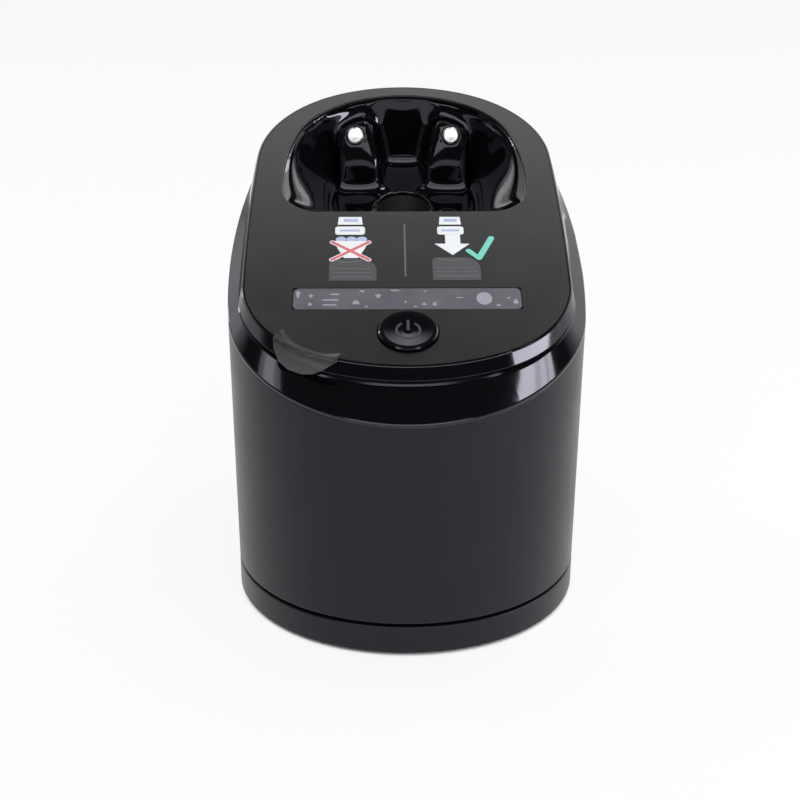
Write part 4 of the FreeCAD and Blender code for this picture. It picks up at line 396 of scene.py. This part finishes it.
def mould_cradle():
    """The cradle as it is moulded: lobes, walls and floor flow into each other."""
    item = new_piece("cradle_moulding", NODES["cradle"].data.copy())
    mesh = voxel_mesh(item)
    item.data = mesh
    shape = bmesh.new()
    shape.from_mesh(mesh)
    flow_lining(shape)
    shape.to_mesh(mesh)
    shape.free()
    for face in mesh.polygons:
        face.use_smooth = True
    mesh.materials.clear()
    mesh.materials.append(MATERIALS["gloss_black"])
    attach(item, "top")
    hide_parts("cradle")


mould_cradle()


# ---------------------------------------------------------------- printed marks

# Lengths are in mm, on the panel's axes: across, up the slope and off the panel.
MARK_HEIGHT = 0.05                       # marks that overlap take different multiples of it
MARK_SINK = -0.03
DISPLAY_HEIGHT = -0.035                  # the lens face is 0.075 mm below the panel
DISPLAY_SINK = -0.15
WHITE_INK = paint("white_ink", (0.80, 0.83, 0.86))
GREY_INK = paint("grey_ink", (0.042, 0.041, 0.048))
PALE_INK = paint("pale_grey_ink", (0.095, 0.095, 0.105))
BLUE_INK = paint("blue_ink", (0.42, 0.48, 0.70))
LAMP_INK = paint("lamp_ink", (0.30, 0.30, 0.37))
FAINT_INK = paint("faint_ink", (0.29, 0.29, 0.33))
RED_INK = paint("red_ink", (0.66, 0.13, 0.16))
GREEN_INK = paint("green_ink", (0.16, 0.62, 0.52))


def add_walls(shape, lower, upper):
    """The side faces between two closed rows of corners."""
    count = len(lower)
    for index in range(count):
        after = (index + 1) % count
        shape.faces.new((lower[index], lower[after], upper[after], upper[index]))


def mark(name, outline, ink, top=MARK_HEIGHT, sink=MARK_SINK):
    """A thin printed shape: a closed outline of (across, up the slope) points."""
    shape = bmesh.new()
    lower = [shape.verts.new(on_top(x, y, sink)) for x, y in outline]
    upper = [shape.verts.new(on_top(x, y, top)) for x, y in outline]
    shape.faces.new(upper)
    shape.faces.new(lower[::-1])
    add_walls(shape, lower, upper)
    item = closed_piece(name, shape, ink)
    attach(item, "top")


def arc(x, y, radius, first, last, steps=8, squash=1.0):
    """Points along an arc from one angle to another, in degrees."""
    points = []
    for step in range(steps + 1):
        angle = math.radians(first + (last - first) * step / steps)
        points.append((x + radius * math.cos(angle), y + radius * squash * math.sin(angle)))
    return points


def rounded(x_low, x_high, y_low, y_high, radius):
    """A rectangle with rounded corners."""
    return (arc(x_high - radius, y_low + radius, radius, -90, 0, 5)
            + arc(x_high - radius, y_high - radius, radius, 0, 90, 5)
            + arc(x_low + radius, y_high - radius, radius, 90, 180, 5)
            + arc(x_low + radius, y_low + radius, radius, 180, 270, 5))


def bar(x1, y1, x2, y2, width):
    """A straight stroke with round ends."""
    angle = math.degrees(math.atan2(y2 - y1, x2 - x1))
    return (arc(x2, y2, width / 2, angle - 90, angle + 90, 6)
            + arc(x1, y1, width / 2, angle + 90, angle + 270, 6))


def pod(name, left, right, low, high):
    """Plain pictogram of a cleaning pod: flat foot, square left side, domed right shoulder."""
    width = right - left
    depth = high - low
    outline = [(left, low), (right, low)]
    outline += arc(right - width * 0.30, low + 0.45 * depth, width * 0.30, 0, 85, 8,
                   0.50 * depth / (width * 0.30))
    outline += [(left + 1.0, high - 0.6), (left, high - 2.0)]
    mark(name, outline, GREY_INK)
    for index, share in enumerate((0.16, 0.34, 0.52)):
        level = low + depth * share
        mark("%s_line_%d" % (name, index),
             bar(left + 0.9, level, right - 0.9 - 0.5 * index, level, 0.35 + 0.15 * (index == 0)),
             PALE_INK, MARK_HEIGHT * 1.6)
    hollow = arc(left + width * 0.40, high - 0.5, width * 0.30, 200, 340, 10, 0.45)
    rim = hollow + [(x, y + 0.55) for x, y in hollow[::-1]]
    mark(name + "_hollow", rim, PALE_INK, MARK_HEIGHT * 1.6)


def shaver(name, x, top, foot, width):
    """Plain pictogram of a shaver held head down: a stack of handle, grip, collar and ring."""
    depth = top - foot
    handle = [(x - width * 0.34, top), (x - width * 0.37, top - depth * 0.20)]
    handle += [(x + width * 0.37, top - depth * 0.20), (x + width * 0.34, top)]
    mark(name + "_handle", handle, WHITE_INK)
    mark(name + "_grip", rounded(x - width * 0.20, x + width * 0.24, top - depth * 0.13,
                                 top - depth * 0.05, 0.3), BLUE_INK, MARK_HEIGHT * 1.6)
    mark(name + "_collar", rounded(x - width * 0.44, x + width * 0.44, top - depth * 0.46,
                                   top - depth * 0.25, 1.0), WHITE_INK)
    mark(name + "_ring", rounded(x - width * 0.30, x + width * 0.30, top - depth * 0.38,
                                 top - depth * 0.33, 0.2), BLUE_INK, MARK_HEIGHT * 1.6)


def shaver_head(name, x, top, foot, width):
    """The head under the collar: three drops of foam over a tapered cup."""
    depth = top - foot
    for index, share in enumerate((-0.30, 0.0, 0.30)):
        drop = arc(x + width * share, top - depth * 0.16, width * 0.155, 0, 360, 12, 0.8)[:-1]
        mark("%s_drop_%d" % (name, index), drop, BLUE_INK, MARK_HEIGHT * (1.0 + 0.1 * index))
    cup = [(x - width * 0.50, top - depth * 0.24), (x - width * 0.40, top - depth * 0.55),
           (x - width * 0.20, foot), (x + width * 0.20, foot),
           (x + width * 0.40, top - depth * 0.55), (x + width * 0.50, top - depth * 0.24)]
    mark(name + "_cup", cup, WHITE_INK, MARK_HEIGHT * 1.4)


def draw_panel_marks():
    """Generic put-it-in-this-way-up pictograms and the line between them."""
    pod("pod_wrong", -23.6, -9.2, -30.2, -19.0)
    pod("pod_right", 7.9, 22.5, -30.0, -18.2)
    shaver("shaver_wrong", -17.5, 2.3, -18.0, 10.6)
    shaver_head("head_wrong", -17.0, -7.6, -19.0, 10.8)
    for index, (y1, y2) in enumerate(((-19.9, -11.0), (-11.0, -19.9))):
        mark("cross_edge_%d" % index, bar(-22.9, y1, -11.6, y2, 1.7), WHITE_INK,
             MARK_HEIGHT * (1.8 + index * 0.2))
        mark("cross_%d" % index, bar(-22.9, y1, -11.6, y2, 1.1), RED_INK,
             MARK_HEIGHT * (2.2 + index * 0.5))
    shaver("shaver_right", 14.0, 2.3, -18.0, 9.4)
    arrow = [(12.2, -7.2), (12.2, -11.9), (8.9, -11.9), (14.3, -17.6), (19.7, -11.9),
             (16.9, -11.9), (16.9, -7.2)]
    mark("arrow_down", arrow, WHITE_INK, MARK_HEIGHT * 2.2)
    mark("tick_short", bar(19.2, -15.4, 22.3, -19.2, 1.7), GREEN_INK, MARK_HEIGHT * 2.2)
    mark("tick_long", bar(22.3, -19.2, 26.6, -9.0, 1.9), GREEN_INK, MARK_HEIGHT * 2.6)
    mark("divider", bar(-0.4, -28.0, -0.4, -1.8, 0.5), PALE_INK)


def blob(x, y, wide, high, turn):
    """An uneven round outline."""
    points = []
    for step in range(14):
        angle = 2 * math.pi * step / 14
        swell = 1 + 0.18 * math.sin(3 * angle + turn) + 0.10 * math.sin(5 * angle + 2 * turn)
        points.append((x + wide / 2 * swell * math.cos(angle),
                       y + high / 2 * swell * math.sin(angle)))
    return points


def lens_mark(name, outline, ink):
    """A faint mark on the display window."""
    mark(name, outline, ink, DISPLAY_HEIGHT, DISPLAY_SINK)


def draw_display_marks():
    """Faint unlit symbols behind the display window: a round lamp, bars and small drops."""
    lens_mark("display_lamp", arc(22.9, -38.7, 2.35, 0, 360, 28, 1.25)[:-1], LAMP_INK)
    for index, (x, y, length) in enumerate(((-21.6, -36.6, 2.0), (-22.9, -39.3, 4.2),
                                            (-23.1, -41.6, 3.6))):
        lens_mark("display_bar_%d" % index, bar(x - length / 2, y, x + length / 2, y, 0.7),
                  FAINT_INK)
    drops = ((-32.6, -36.6, 1.2, 3.4), (-28.7, -37.4, 1.1, 1.6), (-28.9, -41.3, 1.2, 1.3),
             (-15.3, -40.6, 2.1, 1.9), (-13.5, -35.2, 1.5, 0.9), (-12.2, -42.4, 0.9, 0.7),
             (-8.7, -37.4, 1.6, 1.8), (-3.6, -34.8, 3.2, 0.7), (-0.6, -40.2, 0.6, 1.2),
             (2.3, -42.4, 1.1, 0.7), (4.9, -41.3, 1.3, 1.3), (8.1, -41.3, 1.2, 1.9),
             (5.4, -35.2, 0.8, 0.7), (15.6, -38.3, 2.4, 0.5), (27.0, -41.8, 1.3, 1.1),
             (30.2, -38.5, 0.9, 0.9), (32.2, -40.2, 1.5, 2.2))
    for index, (x, y, wide, high) in enumerate(drops):
        lens_mark("display_drop_%d" % index, blob(x, y, wide, high, index), FAINT_INK)


BUTTON_ALONG = -54.1
DISH_HEIGHT = 0.52
RING_OUTER = 3.75
RING_INNER = 3.10
RING_SWEEP = (122, 418)


def draw_power_symbol():
    """Raised power symbol in the button's dish: a ring open at the top and a bar."""
    outer = arc(0, BUTTON_ALONG, RING_OUTER, *RING_SWEEP, 40)
    inner = arc(0, BUTTON_ALONG, RING_INNER, *RING_SWEEP, 40)
    for name, outline in (("power_ring", outer + inner[::-1]),
                          ("power_bar", bar(0, BUTTON_ALONG + 0.4, 0, BUTTON_ALONG + 4.2, 0.8))):
        shape = bmesh.new()
        lower = [shape.verts.new(on_top(x, y, DISH_HEIGHT - 0.1)) for x, y in outline]
        upper = [shape.verts.new(on_top(x, y, DISH_HEIGHT + 0.30)) for x, y in outline]
        add_walls(shape, lower, upper)
        if name == "power_ring":
            for index in range(len(outer) - 1):
                other = len(outline) - 1 - index
                shape.faces.new((upper[index], upper[index + 1], upper[other - 1], upper[other]))
                shape.faces.new((lower[other], lower[other - 1], lower[index + 1], lower[index]))
        else:
            shape.faces.new(upper)
            shape.faces.new(lower[::-1])
        item = closed_piece(name, shape, SYMBOL_INK)
        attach(item, "power_button")


FEELER = 0.35                            # how far apart the skin's level is felt
FEELER_HEIGHT = 20.0
TAB_ROOT = [(-35.2, -50.6), (-33.2, -52.8), (-30.6, -54.9), (-26.8, -57.4), (-23.0, -59.6),
            (-19.0, -61.6)]
TAB_LIP = [(-39.0, -56.4), (-38.8, -61.0), (-37.3, -66.6), (-34.6, -70.2), (-30.6, -72.3),
           (-27.5, -72.3), (-24.3, -70.6), (-20.4, -67.2)]
TAB_THICKNESS = 0.08
TAB_ACROSS, TAB_OUTWARD = 36, 30         # faces
TAB_SINK, TAB_RISE = -0.03, 0.23
RISE_SHARE = (0.25, 0.60)                # where it rises, between root and lip
SETTLE_PASSES = 4
ROOT_TO_RIM = 3.6
TAB_CURL = 0.035                         # drop per square mm past the rim
SIGHT_SLOPE = 1.084                      # the photo's line of sight: up the slope per depth


def skin_of(*names):
    """A search tree over the outer faces of CAD nodes."""
    points, faces = [], []
    for name in names:
        mesh = NODES[name].data
        start = len(points)
        points += [corner.co.copy() for corner in mesh.vertices]
        faces += [[start + index for index in face.vertices] for face in mesh.polygons]
    return BVHTree.FromPolygons(points, faces)


def level_on(skin, x, along):
    """Highest level of the skin round a place, over the panel plane."""
    down = (on_top(x, along, 0.0) - on_top(x, along, FEELER_HEIGHT)).normalized()
    levels = [-FEELER_HEIGHT]
    for across, up in ((0, 0), (FEELER, 0), (-FEELER, 0), (0, FEELER), (0, -FEELER)):
        start = on_top(x + across, along + up, FEELER_HEIGHT)
        hit = skin.ray_cast(start, down)[0]
        if hit:
            levels.append(FEELER_HEIGHT - (hit - start).length / MM)
    return max(levels)


def spaced(points, share):
    """A point at a share of the way along a line of points."""
    runs = [math.dist(a, b) for a, b in zip(points, points[1:])]
    left = share * sum(runs)
    for (a, b), run in zip(zip(points, points[1:]), runs):
        if left <= run or (a, b) == (points[-2], points[-1]):
            part = min(1.0, left / run)
            return a[0] + (b[0] - a[0]) * part, a[1] + (b[1] - a[1]) * part
        left -= run


def film_rows():
    """Rows of places on the film tab, from its root on the panel to its lip past the rim."""
    skin = skin_of("top_panel", "top_cover", "bevel_ring")
    rows = []
    for step in range(TAB_OUTWARD + 1):
        share = step / TAB_OUTWARD
        raised = TAB_SINK + TAB_RISE * eased(share, *RISE_SHARE)
        row = []
        for index in range(TAB_ACROSS + 1):
            inner = spaced(TAB_ROOT, index / TAB_ACROSS)
            outer = spaced(TAB_LIP, index / TAB_ACROSS)
            x = inner[0] + (outer[0] - inner[0]) * share
            along = inner[1] + (outer[1] - inner[1]) * share
            reach = max(0.0, math.dist((x, along), inner) - ROOT_TO_RIM)
            hang = -TAB_CURL * reach * reach
            height = max(level_on(skin, x, along) + raised, hang)
            for _ in range(SETTLE_PASSES):
                seen = along - SIGHT_SLOPE * min(0, height)
                height = max(level_on(skin, x, seen) + raised, hang)
            row.append((x, along - SIGHT_SLOPE * min(0, height), height))
        rows.append(row)
    return rows


def lay_film_tab():
    """Pull tab of the thin transit film that still covers the panel: it bends over the rim."""
    rows = film_rows()
    shape = bmesh.new()
    lower, upper = [[[shape.verts.new(on_top(x, along, height + extra))
                      for x, along, height in row] for row in rows]
                    for extra in (0.0, TAB_THICKNESS)]
    for step in range(TAB_OUTWARD):
        for index in range(TAB_ACROSS):
            shape.faces.new((upper[step][index], upper[step][index + 1],
                             upper[step + 1][index + 1], upper[step + 1][index]))
            shape.faces.new((lower[step][index], lower[step + 1][index],
                             lower[step + 1][index + 1], lower[step][index + 1]))
    rim = ([(0, index) for index in range(TAB_ACROSS + 1)]
           + [(step, TAB_ACROSS) for step in range(1, TAB_OUTWARD + 1)]
           + [(TAB_OUTWARD, index) for index in range(TAB_ACROSS - 1, -1, -1)]
           + [(step, 0) for step in range(TAB_OUTWARD - 1, 0, -1)])
    add_walls(shape, [lower[step][index] for step, index in rim],
              [upper[step][index] for step, index in rim])
    item = closed_piece("film_tab", shape, FILM)
    for face in item.data.polygons:
        face.use_smooth = True
    item.data.set_sharp_from_angle(angle=math.radians(50))
    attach(item, "top")


SYMBOL_INK = plastic("symbol_plastic", (0.06, 0.06, 0.065), 0.2, 0.0)
FILM = transit_film()
lay_film_tab()
draw_panel_marks()
draw_display_marks()
draw_power_symbol()


# ---------------------------------------------------------------- studio

# Metres. The camera stands where the photograph's did, by its fitted axes and place.
CAMERA_RIGHT = (0.99991545, -0.01286041, 0.00192604)
CAMERA_UP = (0.00303197, 0.37459927, 0.92718185)
CAMERA_BACK = (-0.01264543, -0.92709762, 0.37460659)
CAMERA_PLACE = (-0.007764, -0.448596, 0.231835)
ROOM_DIM, ROOM_PALE = 0.045, 2.18        # radiance of the room and of the paper at its palest
LOFTY_GAIN = 1.25                        # the paper is that much paler high up
FLOOR_HALF = 12.0
FLOOR_COLOUR = (0.84, 0.84, 0.84, 1)
FLOOR_GLOW = 0.87
# Reach of the painted contact shadow on the floor, in metres.
PAINTED_SHADOW_REACH = 0.006
BOXES = {                                # place, aim, width, height and radiance
    "front_high": ((0.0, -1.05, 1.20), (0.0, 0.0, 0.10), 2.10, 0.95, 1.9),
    "front": ((0.0, -1.30, 0.56), (0.0, 0.0, 0.10), 1.70, 0.30, 1.6),
    "low_right": ((1.10, -0.42, 0.24), (0.0, 0.0, 0.10), 0.95, 0.18, 10.0),
    "back_right": ((0.95, 1.10, 0.42), (0.0, 0.0, 0.12), 0.12, 0.9, 2.8),
    "back_left": ((-1.05, 0.80, 0.55), (0.0, 0.0, 0.12), 0.12, 0.9, 5.0),
}
LOUVRES = (                              # left and right edges and radiance
    (0.235, 0.295, 8.4), (0.295, 0.322, 5.6), (0.322, 0.350, 7.6), (0.350, 0.364, 4.6),
    (0.364, 0.392, 7.0), (-0.375, -0.345, 1.2), (-0.345, -0.290, 2.6), (-0.290, -0.262, 1.3))
LOUVRE_BACK, LOUVRE_ABOVE, LOUVRE_LENGTH = 0.20, 1.10, 0.34


def add_camera():
    """Camera at the photograph's viewing angle."""
    data = bpy.data.cameras.new("camera")
    data.sensor_width = 36.0
    data.lens = 65.503
    data.clip_start = 0.02
    data.clip_end = 20.0
    camera = bpy.data.objects.new("camera", data)
    axes = Matrix((CAMERA_RIGHT, CAMERA_UP, CAMERA_BACK)).transposed()
    camera.matrix_world = Matrix.Translation(CAMERA_PLACE) @ axes.to_4x4()
    bpy.context.scene.collection.objects.link(camera)
    bpy.context.scene.camera = camera


def add_area(name, place, target, width, height, radiance):
    """A softbox that looks at a point; the camera doesn't see it."""
    data = bpy.data.lights.new(name, "AREA")
    data.shape = "RECTANGLE"
    data.size = width
    data.size_y = height
    data.energy = 4 * width * height * radiance
    lamp = bpy.data.objects.new(name, data)
    lamp.location = place
    lamp.rotation_mode = "QUATERNION"
    lamp.rotation_quaternion = (Vector(target) - Vector(place)).to_track_quat("-Z", "Y")
    lamp.visible_camera = False
    bpy.context.scene.collection.objects.link(lamp)


def add_world():
    """Plain studio room: pale paper behind the station and a dim front and ceiling."""
    world = bpy.data.worlds.new("studio")
    bpy.context.scene.world = world
    world.use_nodes = True
    tree = world.node_tree
    tree.nodes.clear()
    output = tree.nodes.new("ShaderNodeOutputWorld")
    room = tree.nodes.new("ShaderNodeBackground")
    coordinates = tree.nodes.new("ShaderNodeTexCoord")
    split = tree.nodes.new("ShaderNodeSeparateXYZ")
    tree.links.new(coordinates.outputs["Generated"], split.inputs[0])

    # The paper fades in behind the station and out under the ceiling. It is paler to the right
    # and high up. Each line ends with the range of directions over which it changes.
    behind = span(tree, split.outputs["Y"], 0.0, 1.0, -0.05, 0.40)
    under = span(tree, split.outputs["Z"], 1.0, 0.0, 0.775, 0.868)
    rightward = span(tree, split.outputs["X"], 0.35, 1.0, -0.75, 0.35)
    lofty = span(tree, split.outputs["Z"], 0.0, LOFTY_GAIN, 0.35, 0.70)
    paper = combined(tree, "MULTIPLY", combined(tree, "MULTIPLY", behind, under),
                     combined(tree, "MAXIMUM", rightward, lofty))
    paper = span(tree, paper, ROOM_DIM, ROOM_PALE, 0.0, LOFTY_GAIN)
    skyline = span(tree, split.outputs["Z"], 1.0, 0.0, 0.035, 0.06)
    tree.links.new(combined(tree, "MAXIMUM", paper, skyline), room.inputs["Color"])
    room.inputs["Strength"].default_value = 1.0
    tree.links.new(room.outputs[0], output.inputs["Surface"])


def add_floor():
    """Pale floor that keeps the station's soft shadow, with a painted contact shadow: ambient
    occlusion dims its glow near the station.
    """
    mesh = bpy.data.meshes.new("floor")
    mesh.from_pydata([(x * FLOOR_HALF, y * FLOOR_HALF, 0)
                      for x, y in ((-1, -1), (1, -1), (1, 1), (-1, 1))], [], [(0, 1, 2, 3)])
    floor = new_piece("floor", mesh)
    material = bpy.data.materials.new("floor_white")
    material.use_nodes = True
    tree = material.node_tree
    tree.nodes.clear()
    output = tree.nodes.new("ShaderNodeOutputMaterial")
    diffuse = tree.nodes.new("ShaderNodeBsdfDiffuse")
    diffuse.inputs["Color"].default_value = FLOOR_COLOUR
    glow = tree.nodes.new("ShaderNodeEmission")
    glow.inputs["Strength"].default_value = 1.0
    path = tree.nodes.new("ShaderNodeLightPath")
    seen = path.outputs["Is Camera Ray"]
    for kind in ("Is Glossy Ray", "Is Transmission Ray"):
        seen = combined(tree, "MAXIMUM", seen, path.outputs[kind])
    # Painted contact shadow: ambient occlusion takes the glow away from the floor close to the
    # station.
    painted_shadow_occlusion = tree.nodes.new("ShaderNodeAmbientOcclusion")
    painted_shadow_occlusion.inputs["Distance"].default_value = PAINTED_SHADOW_REACH
    glow_after_painted_shadow = combined(tree, "MULTIPLY", seen,
                   span(tree, painted_shadow_occlusion.outputs["AO"], 0.0, 1.0, 0.20, 0.58))
    mix = tree.nodes.new("ShaderNodeMixShader")
    tree.links.new(span(tree, glow_after_painted_shadow, 0.0, FLOOR_GLOW, 0.0, 1.0), mix.inputs["Fac"])
    tree.links.new(diffuse.outputs[0], mix.inputs[1])
    tree.links.new(glow.outputs[0], mix.inputs[2])
    tree.links.new(mix.outputs[0], output.inputs["Surface"])
    mesh.materials.append(material)


add_camera()
add_world()
add_floor()
for name, box in BOXES.items():
    add_area(name, *box)
for index, (left, right, radiance) in enumerate(LOUVRES):
    middle = (left + right) / 2
    add_area("louvre_%d" % index, (middle, LOUVRE_BACK, LOUVRE_ABOVE), (middle, LOUVRE_BACK, 0.0),
             right - left, LOUVRE_LENGTH, radiance)

bpy.context.scene.view_settings.view_transform = "Standard"
